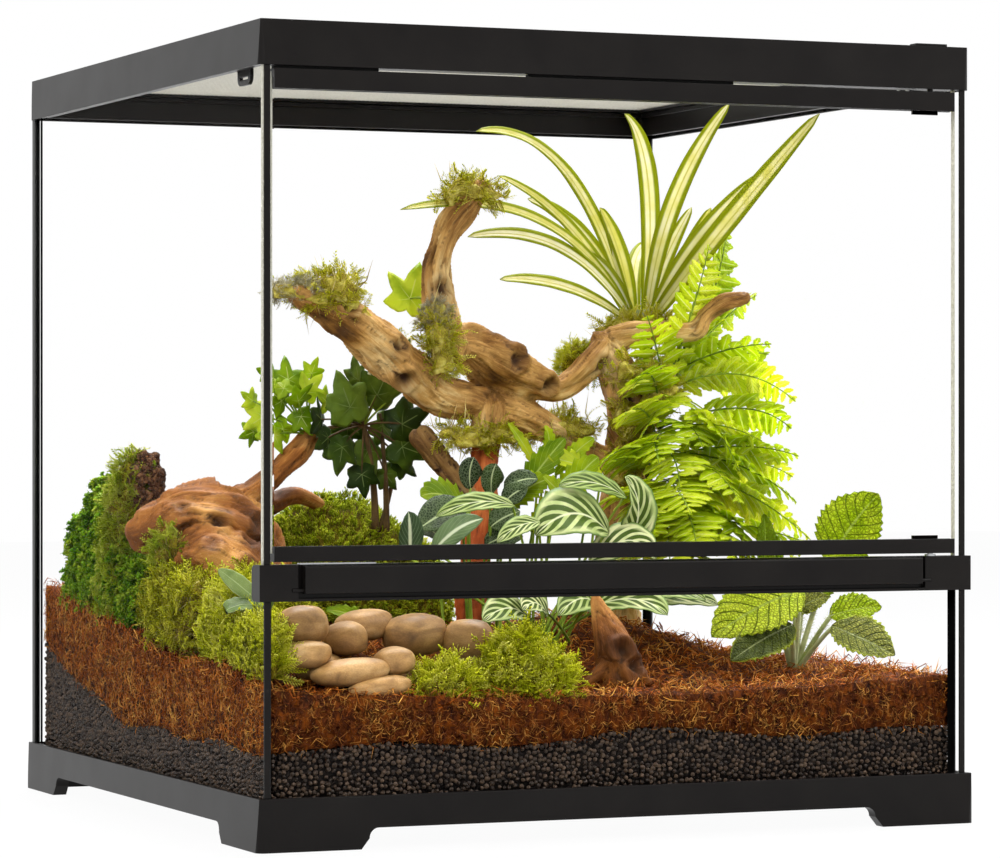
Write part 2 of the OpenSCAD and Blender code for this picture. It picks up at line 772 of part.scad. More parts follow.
module river_stones() {
    // centre x, y, z, half lengths, turn
    stones = [[-189, -183, 128, 17, 15, 12.5, 10], [-158, -174, 119, 13, 14, 11, 40],
              [-193, -196, 111, 18, 15, 9, -8], [-166, -202, 101, 26, 15, 8.5, 5],
              [-112, -168, 120, 21, 17, 14, 12], [-80, -176, 116, 17, 14, 14.5, -25],
              [-136, -196, 106, 13, 14, 9.5, 0], [-150, -208, 92, 21, 9, 7, 0],
              [-140, -158, 126, 20, 16, 10, 20], [-128, -186, 97, 20, 15, 9, 30],
              [-176, -178, 102, 18, 15, 10, 60]];
    color("#a08c70")
        for (s = stones)
            translate([s[0], s[1], s[2]])
                rotate([4, -6, s[6]])
                    scale([s[3], s[4], s[5]])
                        sphere(1, $fn = 40);
}

// ---------- mosses ----------

module moss_mound() {
    color("#5f7a1c")
        for (c = [[-64, 96, 122, 62, 48, 78], [-100, 92, 118, 34, 40, 62], [-24, 100, 116, 40, 44, 62]])
            dome([c[0], c[1], c[2]], [c[3], c[4], c[5]], 12, 0.05, c[0]);
}

module moss_cushions() {
    cushions = [[-108, -202, 86, 27, 13, 32], [-50, -196, 86, 32, 20, 42], [-211, -170, 98, 10, 42, 42],
                [-204, -92, 104, 18, 48, 54], [-172, -60, 112, 30, 34, 40], [-206, -30, 108, 16, 32, 48]];
    color(moss)
        for (c = cushions)
            dome([c[0], c[1], c[2]], [c[3], c[4], c[5]], 10, 0.07, c[0]);
}

module perched_moss() {
    clumps = [[-124, -36, 330, 24, 13, 18], [-8, -12, 392, 19, 13, 17], [-36, -20, 294, 11, 12, 24],
              [-4, -14, 236, 24, 15, 18], [134, 26, 308, 34, 20, 12], [124, -6, 262, 22, 15, 28],
              [62, 16, 240, 30, 15, 16], [82, 25, 286, 13, 12, 20], [-62, -12, 294, 12, 9, 11]];
    color(moss)
        for (c = clumps)
            dome([c[0], c[1], c[2]], [c[3], c[4], c[5]], 8, 0.12, c[0]);
}

module curly_moss() {
    color("#3f7a24")
        for (c = [[-196, 168, 124, 23, 45, 74], [-172, 150, 118, 30, 38, 50], [-200, 128, 120, 20, 20, 52]])
            dome([c[0], c[1], c[2]], [c[3], c[4], c[5]], 12, 0.08, c[1]);
}

// ---------- plants ----------

module spider_plant() {
    crown = [136, 42, 312];
    // middle point, tip, width
    leaves = [[[94, 50, 452], [3, 10, 438], 11], [[90, 40, 390], [23, 20, 410], 9],
              [[70, 20, 412], [-62, -20, 384], 9], [[72, 10, 384], [-3, 10, 369], 11],
              [[78, 20, 346], [24, 20, 342], 10], [[164, 66, 430], [128, 50, 456], 15],
              [[150, 46, 400], [187, 10, 462], 14], [[170, 0, 372], [212, -72, 450], 16],
              [[158, 14, 372], [206, -6, 416], 15], [[138, 70, 362], [168, 100, 372], 9],
              [[150, 50, 350], [178, 50, 394], 9], [[104, 52, 386], [62, 62, 398], 12],
              [[112, 40, 356], [86, 34, 362], 12], [[120, 66, 360], [102, 84, 384], 12]];
    color("#b7cc4a") {
        for (l = leaves)
            blade([crown + 6 * unit([l[0][0] - crown[0], l[0][1] - crown[1], 0]), l[0], l[1]], l[2],
                  peak = 0.35, segs = 7, keel = 0.28, up = [0, -0.55, 1]);
        for (k = [0:8])
            twig(crown - [0, 0, 10], crown + [7 * cos(k * 40), 5 * sin(k * 40), 12], 7, 3);
    }
}

module fern() {
    root = [136, 6, 268];
    low = [128, -10, 200];
    color("#8fbf2a") {
        for (f = [[[176, 20, 330], [208, 44, 398], 26], [[182, 20, 320], [214, 24, 334], 22],
                  [[184, 6, 300], [214, 6, 294], 20], [[180, -20, 296], [216, -30, 262], 24],
                  [[120, -30, 262], [96, -40, 236], 22], [[150, -36, 262], [158, -62, 218], 26]])
            frond([root, f[0], f[1]], f[2], 6);
        for (f = [[[182, -18, 236], [214, -30, 212], 26], [[174, -34, 210], [206, -52, 180], 26],
                  [[156, -46, 196], [166, -86, 158], 26], [[130, -50, 200], [112, -96, 164], 26],
                  [[100, -40, 206], [74, -86, 180], 24], [[146, -40, 172], [186, -90, 142], 22],
                  [[110, -60, 176], [86, -110, 142], 22]])
            frond([low, f[0], f[1]], f[2], 6);
        for (k = [0:7])
            twig(along([136, 4, 276], [122, -10, 102], k / 8),
                 along([136, 4, 276], [122, -10, 102], (k + 1) / 8), 6.5 + k / 2, 7 + k / 2);
        frond([[146, -84, 90], [158, -96, 130], [163, -98, 178]], 13, 5);
        frond([[150, -84, 88], [176, -98, 120], [184, -100, 168]], 11, 5);
    }
}

module prayer_plant() {
    foot = [18, -84, 104];
    // base of the blade, middle, tip, width
    leaves = [[[-6, -90, 166], [14, -104, 196], [42, -112, 182], 30],
              [[30, -92, 168], [52, -104, 206], [28, -112, 214], 25],
              [[34, -96, 160], [60, -110, 190], [66, -116, 160], 30],
              [[-14, -78, 186], [-40, -84, 208], [-68, -88, 196], 20],
              [[-20, -88, 160], [-40, -96, 186], [-64, -100, 172], 24],
              [[-4, -100, 140], [-30, -128, 152], [-44, -150, 134], 24],
              [[10, -104, 130], [4, -136, 142], [-8, -160, 118], 26],
              [[30, -104, 130], [52, -134, 146], [64, -152, 128], 26],
              [[44, -96, 138], [80, -116, 152], [98, -136, 136], 24],
              [[-30, -80, 150], [-62, -100, 168], [-84, -120, 150], 22],
              [[0, -60, 190], [6, -60, 222], [24, -64, 244], 20]];
    color("#5c8f4a")
        for (l = leaves) {
            blade([l[0], l[1], l[2]], l[3], peak = 0.45, segs = 5, keel = 0.22, up = [0, -0.8, 0.6]);
            twig(foot, l[0] + unit(l[1] - l[0]) * 3, 2.2, 1.2);
        }
}

module quilted_plant() {
    foot = [172, -112, 80];
    leaves = [[[182, -118, 128], [204, -126, 176], [214, -132, 190], 44],
              [[158, -124, 112], [136, -146, 138], [118, -160, 116], 38],
              [[164, -126, 100], [146, -164, 112], [138, -184, 94], 36],
              [[184, -126, 104], [206, -152, 116], [212, -176, 100], 36],
              [[178, -118, 108], [196, -140, 132], [214, -150, 134], 34],
              [[174, -124, 112], [172, -146, 136], [180, -166, 124], 28],
              [[168, -112, 118], [150, -118, 148], [134, -122, 156], 28],
              [[178, -106, 108], [196, -96, 136], [212, -92, 128], 28]];
    color("#6fa52a")
        for (l = leaves) {
            blade([l[0], l[1], l[2]], l[3], peak = 0.5, segs = 6, keel = 0.16, up = [0, -0.7, 0.7]);
            twig(foot, l[0] + unit(l[1] - l[0]) * 3, 2.4, 1.4);
        }
}

module ivy() {
    foot = [-46, 66, 176];
    fork = [-58, 56, 246];
    // centre x, y, z, size, turn, tilt, lean
    leaves = [[-72, 44, 258, 26, -20, 10, 10], [-92, 44, 250, 20, -70, 0, 30], [-50, 52, 266, 24, 20, 15, -10],
              [-34, 56, 256, 22, 60, 0, -20], [-34, 60, 236, 22, 110, 10, 0], [-76, 48, 232, 20, 190, 0, 0],
              [-54, 58, 230, 20, 160, 5, 10], [-40, 60, 280, 19, 20, 20, 20], [-118, 48, 262, 20, -60, 10, 20],
              [-128, 54, 252, 18, -120, 0, 0], [-112, 52, 276, 17, 0, 0, 0], [-100, 50, 268, 15, 40, 0, -20],
              [-28, 66, 294, 16, 30, 10, 10], [-54, 6, 346, 17, -10, 0, 0], [-46, 2, 328, 15, 160, 0, 0],
              [-40, 66, 214, 14, 140, 0, 0]];
    color("#3c6b2c") {
        for (l = leaves) {
            ivy_leaf([l[0], l[1], l[2]], l[3], l[4], l[5], l[6]);
            twig([l[0], l[1] + 0.6, l[2]], l[2] > 320 ? [-38, -6, 326] : l[0] < -95 ? [-96, 58, 240] : fork,
                 1, 1.2);
        }
        twig(foot, fork, 3, 2);
        twig(foot + [8, 0, 0], fork + [10, 2, 6], 2.4, 1.6);
        twig([-96, 58, 240], fork, 1.6, 1.6);
    }
}

module oval_leaf_plant() {
    foot = [-208, -128, 116];
    leaves = [[[-209, -130, 136], [-200, -118, 168], [-206, -100, 182], 22],
              [[-208, -134, 130], [-212, -156, 146], [-213, -180, 138], 24],
              [[-204, -132, 132], [-190, -134, 160], [-180, -138, 164], 22],
              [[-204, -140, 126], [-196, -160, 148], [-190, -176, 142], 22]];
    color("#5d9a4c") {
        for (l = leaves) {
            blade([l[0], l[1], l[2]], l[3], peak = 0.5, segs = 6, keel = 0.14, up = [-0.6, -0.4, 0.7]);
            twig(foot, l[0] + unit(l[1] - l[0]) * 3, 2, 1.4);
        }
        for (k = [0:5])
            twig(foot, foot + [5 * cos(k * 60), 5 * sin(k * 60), 9], 3, 1.6);
    }
}

base_frame();
bottom_glass();
left_glass();
right_glass();
back_glass();
window_glass();
left_post();
right_post();
rear_corner_strips();
glass_seals();
crossbar();
vent_mesh();
strike_plate();
flap_pins();
vent_flap();
top_frame();
door_stop_pads();
lower_hinge_pin();
upper_hinge_pin();
door_glass();
door_bottom_trim();
door_top_trim();
lower_hinge_bush();
upper_hinge_bush();
lower_hinge_clip();
upper_hinge_clip();
door_magnet();
lid_frame();
lid_mesh();
left_catch_pins();
right_catch_pins();
left_lid_catch();
right_lid_catch();
drainage_pellets();
coir_bed();
root_wood();
side_log();
mossy_stump();
root_chip();
river_stones();
moss_mound();
moss_cushions();
perched_moss();
curly_moss();
spider_plant();
fern();
prayer_plant();
quilted_plant();
ivy();
oval_leaf_plant();
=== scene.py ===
import json
import math
import random

import bpy
import numpy as np
from mathutils import Euler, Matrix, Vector, noise


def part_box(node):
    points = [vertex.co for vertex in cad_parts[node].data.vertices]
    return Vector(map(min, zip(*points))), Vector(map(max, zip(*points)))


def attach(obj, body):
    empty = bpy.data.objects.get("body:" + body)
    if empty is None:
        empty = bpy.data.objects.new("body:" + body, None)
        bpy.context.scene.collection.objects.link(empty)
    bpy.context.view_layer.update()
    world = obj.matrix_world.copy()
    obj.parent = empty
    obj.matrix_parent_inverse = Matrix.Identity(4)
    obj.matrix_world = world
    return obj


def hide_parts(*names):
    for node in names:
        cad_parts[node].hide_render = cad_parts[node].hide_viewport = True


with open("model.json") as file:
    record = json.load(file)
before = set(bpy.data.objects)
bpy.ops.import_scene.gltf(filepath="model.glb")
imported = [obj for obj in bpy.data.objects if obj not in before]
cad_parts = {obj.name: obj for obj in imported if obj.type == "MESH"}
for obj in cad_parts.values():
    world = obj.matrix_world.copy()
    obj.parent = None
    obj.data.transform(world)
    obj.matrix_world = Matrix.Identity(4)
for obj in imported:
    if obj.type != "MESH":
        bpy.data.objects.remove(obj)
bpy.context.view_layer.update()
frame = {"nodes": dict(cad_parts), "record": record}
nodes = frame["nodes"]
mm = 0.001
print("frame loaded")


def hexColor(text):
    parts = [int(text[i:i + 2], 16) / 255 for i in (1, 3, 5)]
    return [p / 12.92 if p <= 0.04045 else ((p + 0.055) / 1.055) ** 2.4 for p in parts] + [1]


def addNode(tree, kind, settings=None, inputs=None):
    node = tree.nodes.new(kind)
    for name, value in (settings or {}).items():
        if name == "stops":  # a colour ramp's places and colours
            ramp = node.color_ramp
            while len(ramp.elements) < len(value):
                ramp.elements.new(1)
            for element, (place, colour) in zip(ramp.elements, value):
                element.position = place
                element.color = hexColor(colour)
        else:
            setattr(node, name, value)
    for name, value in (inputs or {}).items():
        if isinstance(value, bpy.types.NodeSocket):
            tree.links.new(value, node.inputs[name])
        else:
            node.inputs[name].default_value = value
    return node


def startMaterial(name, shine=0.5, **fixed):  # a Principled shader with what is the same all over
    material = bpy.data.materials.new(name)
    material.use_nodes = True
    tree = material.node_tree
    tree.nodes.clear()
    shader = addNode(tree, "ShaderNodeBsdfPrincipled", inputs={"Specular IOR Level": shine, **fixed})
    addNode(tree, "ShaderNodeOutputMaterial", inputs={"Surface": shader.outputs[0]})
    return material, tree, shader


def surfaced(tree, shader, colour, level, rough, height, bumpMm, strength=1.0, **bump):
    # the roughness runs over its range with the level, and the height gives the relief
    gloss = addNode(tree, "ShaderNodeMapRange", inputs={
        "Value": level, "To Min": rough[0], "To Max": rough[1]})
    relief = addNode(tree, "ShaderNodeBump", inputs={
        "Height": height, "Distance": bumpMm * mm, "Strength": strength, **bump})
    tree.links.new(colour, shader.inputs["Base Color"])
    tree.links.new(gloss.outputs["Result"], shader.inputs["Roughness"])
    tree.links.new(relief.outputs["Normal"], shader.inputs["Normal"])


def letThrough(tree, shader, colour, share):  # thin green parts let some of the light through
    through = addNode(tree, "ShaderNodeBsdfTranslucent", inputs={"Color": colour})
    both = addNode(tree, "ShaderNodeMixShader", inputs={
        0: share, 1: shader.outputs[0], 2: through.outputs[0]})
    tree.links.new(both.outputs[0], tree.nodes["Material Output"].inputs["Surface"])


def mottled(name, stops, sizeMm, bumpMm, rough, stretch=(1, 1, 1), **fixed):
    # a surface whose colour, roughness and relief all come from one fractal at a real size
    material, tree, shader = startMaterial(name, **fixed)
    place = addNode(tree, "ShaderNodeTexCoord").outputs["Object"]
    spot = addNode(tree, "ShaderNodeMapping", inputs={
        "Vector": place, "Scale": [1 / (sizeMm * mm * s) for s in stretch]})
    cloud = addNode(tree, "ShaderNodeTexNoise", inputs={
        "Vector": spot.outputs[0], "Scale": 1.0, "Detail": 4, "Roughness": 0.6}).outputs["Fac"]
    colour = addNode(tree, "ShaderNodeValToRGB", {"stops": stops}, {"Fac": cloud})
    surfaced(tree, shader, colour.outputs["Color"], cloud, rough, cloud, bumpMm)
    return material


def store(data, label, values):  # numbers or vectors at the mesh's points
    values = np.asarray(values, np.float32)
    kind, field = ("FLOAT_VECTOR", "vector") if values.ndim > 1 else ("FLOAT", "value")
    data.attributes.new(label, kind, "POINT").data.foreach_set(field, values.ravel())


def meshObject(name, verts, faces, attributes=None, material=None, smooth=True):
    data = bpy.data.meshes.new(name)
    data.from_pydata([tuple(v) for v in verts], [], faces)
    for label, values in (attributes or {}).items():
        store(data, label, values)
    data.polygons.foreach_set("use_smooth", [smooth] * len(data.polygons))
    if material:
        data.materials.append(material)
    made = bpy.data.objects.new(name, data)
    bpy.context.scene.collection.objects.link(made)
    return made


def addForm(verts, faces, moreVerts, moreFaces):  # one form more in the same lists
    first = len(verts)
    verts.extend(moreVerts)
    faces.extend(tuple(first + i for i in face) for face in moreFaces)


def ringQuads(rings, sides, first=0):  # the faces between rings of points
    quads = []
    for r in range(rings - 1):
        low, high = first + r * sides, first + (r + 1) * sides
        for k in range(sides):
            n = (k + 1) % sides
            quads.append((low + k, low + n, high + n, high + k))
    return quads


def tubeFaces(rings, sides):  # rings of points with a flat cap at each end
    caps = [tuple(range(sides - 1, -1, -1)), tuple((rings - 1) * sides + k for k in range(sides))]
    return ringQuads(rings, sides) + caps


def pointsOf(data, field="co"):
    spots = np.zeros(len(data.vertices) * 3, np.float32)
    data.vertices.foreach_get(field, spots)
    return spots.reshape(-1, 3)


def movePoints(data, spots):
    data.vertices.foreach_set("co", spots.astype(np.float32).ravel())
    data.update()


def plainMesh(made):  # what the modifiers give, as the object's own mesh
    bpy.context.view_layer.update()
    done = made.evaluated_get(bpy.context.evaluated_depsgraph_get())
    data = bpy.data.meshes.new_from_object(done)
    made.modifiers.clear()
    made.data = data
    return made


def joined(name, parts):
    bpy.ops.object.select_all(action="DESELECT")
    for part in parts:
        part.select_set(True)
    bpy.context.view_layer.objects.active = parts[0]
    bpy.ops.object.join()
    parts[0].name = name
    parts[0].data.name = name
    return parts[0]


def seat(piece, body="enclosure", stands=()):
    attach(piece, body)
    if stands:
        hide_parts(*stands)
    return piece


view = {
    "place": (-1.0131, -2.4252, 0.2438),
    "turn": 22.986,  # degrees from straight ahead
    "lens": 145.63,
    "sensor": 36,
}
camera = bpy.data.objects.new("camera", bpy.data.cameras.new("camera"))
bpy.context.scene.collection.objects.link(camera)
camera.location = view["place"]
camera.rotation_euler = (math.pi / 2, 0, -math.radians(view["turn"]))
camera.data.lens = view["lens"]
camera.data.sensor_width = view["sensor"]
camera.data.clip_start = 0.05  # metres
camera.data.clip_end = 50
bpy.context.scene.camera = camera
bpy.context.scene.view_settings.view_transform = "Standard"

studio = {
    "world": 0.5,  # sky light on the object
    "floorSize": 12,
    "floorGlow": 0.96,  # how far the floor is lifted to white for the eye
    "aim": (0, 0, 0.22),  # where the lamps point
    "lamps": [  # place, watts, size
        ((-1.9, -2.1, 2.0), 34, 1.6),
        ((1.9, -1.4, 1.9), 30, 1.6),
        ((0.5, 0.9, 2.1), 120, 1.2),
    ],
}


def seenShare(tree):  # 1 for rays that the eye follows: straight, mirrored or through glass
    path = addNode(tree, "ShaderNodeLightPath").outputs
    share = path["Is Camera Ray"]
    for ray in ("Is Glossy Ray", "Is Transmission Ray"):
        either = addNode(tree, "ShaderNodeMath", {"operation": "MAXIMUM"}, {0: share, 1: path[ray]})
        share = either.outputs[0]
    return share


def buildStage():
    world = bpy.data.worlds.new("studio")
    bpy.context.scene.world = world
    world.use_nodes = True
    tree = world.node_tree
    tree.nodes.clear()
    level = addNode(tree, "ShaderNodeMapRange", inputs={
        "Value": seenShare(tree), "To Min": studio["world"], "To Max": 1.0})
    white = addNode(tree, "ShaderNodeBackground", inputs={
        "Color": (1, 1, 1, 1), "Strength": level.outputs["Result"]})
    addNode(tree, "ShaderNodeOutputWorld", inputs={"Surface": white.outputs[0]})

    # matt studio paint, lifted to white where the eye sees it
    material, tree, shader = startMaterial("paintedFloor", **{
        "Base Color": (0.8, 0.8, 0.8, 1), "Roughness": 0.9})
    lift = addNode(tree, "ShaderNodeMath", {"operation": "MULTIPLY"}, {
        0: seenShare(tree), 1: studio["floorGlow"]})
    glow = addNode(tree, "ShaderNodeEmission", inputs={"Color": (1, 1, 1, 1), "Strength": 1.0})
    lifted = addNode(tree, "ShaderNodeMixShader", inputs={
        0: lift.outputs[0], 1: shader.outputs[0], 2: glow.outputs[0]})
    tree.links.new(lifted.outputs[0], tree.nodes["Material Output"].inputs["Surface"])
    half = studio["floorSize"] / 2
    corners = [(-half, -half, 0), (half, -half, 0), (half, half, 0), (-half, half, 0)]
    floor = meshObject("floor", corners, [(0, 1, 2, 3)], material=material)
    for place, watts, size in studio["lamps"]:
        lamp = bpy.data.objects.new("lamp", bpy.data.lights.new("lamp", "AREA"))
        bpy.context.scene.collection.objects.link(lamp)
        lamp.data.energy = watts
        lamp.data.size = size
        lamp.location = place
        way = Vector(studio["aim"]) - Vector(place)
        lamp.rotation_euler = way.to_track_quat("-Z", "Y").to_euler()


buildStage()
print("camera and light ready")


def blackPlastic():
    # moulded ABS with a satin skin: nearly black, with soft bright lines where its edges are rounded
    material, tree, shader = startMaterial("satinBlackAbs", shine=0.15, IOR=1.5)
    place = addNode(tree, "ShaderNodeTexCoord").outputs["Object"]
    cloud = addNode(tree, "ShaderNodeTexNoise", inputs={
        "Vector": place, "Scale": 30, "Detail": 3}).outputs["Fac"]
    grit = addNode(tree, "ShaderNodeTexNoise", inputs={"Vector": place, "Scale": 1400, "Detail": 2})
    colour = addNode(tree, "ShaderNodeValToRGB", {"stops": [(0.3, "#0e0b0a"), (0.7, "#151210")]}, {
        "Fac": cloud})
    edge = addNode(tree, "ShaderNodeBevel", {"samples": 4}, {"Radius": 0.7 * mm})
    surfaced(tree, shader, colour.outputs["Color"], cloud, (0.24, 0.38), grit.outputs["Fac"], 0.02, 0.35,
             Normal=edge.outputs[0])
    return material


def floatGlass():
    # clear float glass: a low index keeps its faces all but unseen, and it casts no shadow
    white = hexColor("#ffffff")
    material, tree, shader = startMaterial("floatGlass", **{
        "Transmission Weight": 1.0, "Roughness": 0.0, "IOR": 1.012, "Base Color": white})
    clear = addNode(tree, "ShaderNodeBsdfTransparent", inputs={"Color": white})
    path = addNode(tree, "ShaderNodeLightPath").outputs
    both = addNode(tree, "ShaderNodeMixShader", inputs={
        0: path["Is Shadow Ray"], 1: shader.outputs[0], 2: clear.outputs[0]})
    tree.links.new(both.outputs[0], tree.nodes["Material Output"].inputs["Surface"])
    return material


finishes = {  # one for each slot of the solids that stay in view
    "black": blackPlastic(),
    "glass": floatGlass(),
    # cured silicone: rubbery, with a faint sheen
    "black_silicone": mottled("blackSilicone", [(0.3, "#161615"), (0.7, "#20201f")], 6, 0.08, (0.35, 0.5)),
    # drawn stainless steel, its grain along the pins
    "steel": mottled("stainlessSteel", [(0.3, "#b4b6b7"), (0.7, "#cfd1d2")], 1.5, 0.01, (0.22, 0.36),
                     stretch=(8, 1, 1), Metallic=1.0),
    # closed-cell foam strip: dead matt
    "soft_pad": mottled("closedCellFoam", [(0.3, "#131312"), (0.7, "#1d1c1b")], 0.8, 0.08, (0.8, 0.95)),
    # turned acetal, grey-white and slightly waxy
    "bush": mottled("acetalBush", [(0.3, "#8a867b"), (0.7, "#98948a")], 3, 0.02, (0.3, 0.4)),
    # nickel-plated magnet
    "magnet": mottled("platedMagnet", [(0.3, "#85888a"), (0.7, "#9a9d9f")], 2, 0.01, (0.25, 0.4),
                      Metallic=1.0),
    # bright stainless screen, pale and diffuse from afar
    "mesh": mottled("stainlessScreen", [(0.3, "#bdbbb0"), (0.7, "#d2d0c6")], 2, 0.01, (0.35, 0.5)),
}
for part in frame["record"]["subparts"]:
    finish = finishes.get(part["material_slot"])
    if finish:
        data = nodes[part["node"]].data
        data.materials.clear()
        data.materials.append(finish)


glassEdges = {  # ground edges of the side panes and of the door: two corners of each thin strip
    "enclosure": [((-230.54, -230.54, 165.5), (-229.8, -228.0, 453.5)),
                  ((225.42, -227.0, 165.5), (225.5, -222.0, 453.5))],
    "door": [((-224.14, -228.0, 172.0), (-223.6, -223.0, 450.0))],
}


def box(low, high):
    verts = [(x, y, z) for x in (low[0], high[0]) for y in (low[1], high[1]) for z in (low[2], high[2])]
    faces = [(0, 1, 3, 2), (4, 6, 7, 5), (0, 4, 5, 1), (2, 3, 7, 6), (0, 2, 6, 4), (1, 5, 7, 3)]
    return verts, faces


def buildGlassEdges():
    # ground glass: pale and dull, with a little grain
    finish = mottled("groundGlass", [(0.3, "#b9b6a4"), (0.7, "#dad8cb")], 2, 0.02, (0.6, 0.8))
    for body, strips in glassEdges.items():
        verts, faces = [], []
        for low, high in strips:
            addForm(verts, faces, *box([v * mm for v in low], [v * mm for v in high]))
        piece = meshObject(body + "GlassEdges", verts, faces, material=finish, smooth=False)
        seat(piece, body=body)


buildGlassEdges()
print("case finished")


def buildScatter():  # strews a collection's things over a mesh where its points say grow
    tree = bpy.data.node_groups.new("strewOverSurface", "GeometryNodeTree")
    tree.interface.new_socket("Geometry", in_out="INPUT", socket_type="NodeSocketGeometry")
    for label, kind in [("Things", "Collection"), ("Per square metre", "Float"), ("Seed", "Int"),
                        ("Spacing", "Float"), ("Smallest", "Float"), ("Largest", "Float"),
                        ("Least lean", "Float"), ("Most lean", "Float"), ("Pull upward", "Float"),
                        ("Finish", "Material")]:
        tree.interface.new_socket(label, in_out="INPUT", socket_type="NodeSocket" + kind)
    tree.interface.new_socket("Geometry", in_out="OUTPUT", socket_type="NodeSocketGeometry")
    given = addNode(tree, "NodeGroupInput").outputs
    grow = addNode(tree, "GeometryNodeInputNamedAttribute", {"data_type": "FLOAT"}, {"Name": "grow"})
    points = addNode(tree, "GeometryNodeDistributePointsOnFaces", {"distribute_method": "POISSON"}, {
        "Mesh": given["Geometry"], "Distance Min": given["Spacing"], "Seed": given["Seed"],
        "Density Max": given["Per square metre"], "Density Factor": grow.outputs["Attribute"]})
    facing = addNode(tree, "ShaderNodeMix", {"data_type": "VECTOR"}, {
        "Factor": given["Pull upward"], 4: points.outputs["Normal"], 5: (0, 0, 1)})
    upright = addNode(tree, "FunctionNodeAlignRotationToVector", {"axis": "Z"}, {
        "Vector": facing.outputs[1]})
    least = addNode(tree, "ShaderNodeCombineXYZ", inputs={"X": given["Least lean"]})
    most = addNode(tree, "ShaderNodeCombineXYZ", inputs={"X": given["Most lean"], "Z": 2 * math.pi})
    tilt = addNode(tree, "FunctionNodeRandomValue", {"data_type": "FLOAT_VECTOR"}, {
        0: least.outputs[0], 1: most.outputs[0], "Seed": given["Seed"]})
    spin = addNode(tree, "FunctionNodeEulerToRotation", inputs={"Euler": tilt.outputs[0]})
    turn = addNode(tree, "FunctionNodeRotateRotation", {"rotation_space": "LOCAL"}, {
        "Rotation": upright.outputs[0], "Rotate By": spin.outputs[0]})
    things = addNode(tree, "GeometryNodeCollectionInfo", inputs={
        "Collection": given["Things"], "Separate Children": True, "Reset Children": True})
    size = addNode(tree, "FunctionNodeRandomValue", {"data_type": "FLOAT"}, {
        2: given["Smallest"], 3: given["Largest"], "Seed": given["Seed"]})
    placed = addNode(tree, "GeometryNodeInstanceOnPoints", inputs={
        "Points": points.outputs["Points"], "Instance": things.outputs[0], "Pick Instance": True,
        "Rotation": turn.outputs[0], "Scale": size.outputs[1]})
    chance = addNode(tree, "FunctionNodeRandomValue", {"data_type": "FLOAT"}, {"Seed": 7})
    marked = addNode(tree, "GeometryNodeStoreNamedAttribute", {"domain": "INSTANCE", "data_type": "FLOAT"}, {
        "Geometry": placed.outputs[0], "Name": "tone", "Value": chance.outputs[1]})
    real = addNode(tree, "GeometryNodeRealizeInstances", inputs={"Geometry": marked.outputs[0]})
    dressed = addNode(tree, "GeometryNodeSetMaterial", inputs={
        "Geometry": real.outputs[0], "Material": given["Finish"]})
    addNode(tree, "NodeGroupOutput", inputs={"Geometry": dressed.outputs[0]})
    return tree


strewTree = buildScatter()


def strew(base, settings, things, finish):  # a new plain mesh of things strewn over base
    made = base.copy()
    made.data = base.data.copy()
    bpy.context.scene.collection.objects.link(made)
    modifier = made.modifiers.new("strew", "NODES")
    modifier.node_group = strewTree
    values = {
        "Things": things, "Per square metre": settings["perSquareM"], "Seed": settings["seed"],
        "Spacing": settings.get("spacingMm", 0) * mm,
        "Smallest": settings["size"][0], "Largest": settings["size"][1],
        "Least lean": math.radians(settings["lean"][0]), "Most lean": math.radians(settings["lean"][1]),
        "Pull upward": settings["upward"], "Finish": finish,
    }
    for item in strewTree.interface.items_tree:
        if item.in_out == "INPUT" and item.name in values:
            modifier[item.identifier] = values[item.name]
    return plainMesh(made)


def thingSet(name, makers):  # a hidden collection of small meshes to strew
    group = bpy.data.collections.new(name)
    for i, (verts, faces, tips) in enumerate(makers):
        thing = meshObject(name + str(i), verts, faces, {"tip": tips})
        bpy.context.scene.collection.objects.unlink(thing)
        group.objects.link(thing)
    return group


def fibre(length, width, bow, rng):  # a hair of three sides that lies along Z, pinched at both ends
    mids = [rng.uniform(-bow, bow) for _ in range(4)]
    verts = [(0, 0, -length / 2)]
    for part, z in enumerate((-length / 6, length / 6)):
        for k in range(3):
            a = 2 * math.pi * k / 3 + part
            verts.append((mids[part] + width * math.cos(a), mids[part + 2] + width * math.sin(a), z))
    verts.append((0, 0, length / 2))
    faces = []
    for k in range(3):
        n = (k + 1) % 3
        faces += [(0, 1 + n, 1 + k), (1 + k, 1 + n, 4 + n, 4 + k), (4 + k, 4 + n, 7)]
    return verts, faces, [0.0, 0.3, 0.3, 0.3, 0.7, 0.7, 0.7, 1.0]


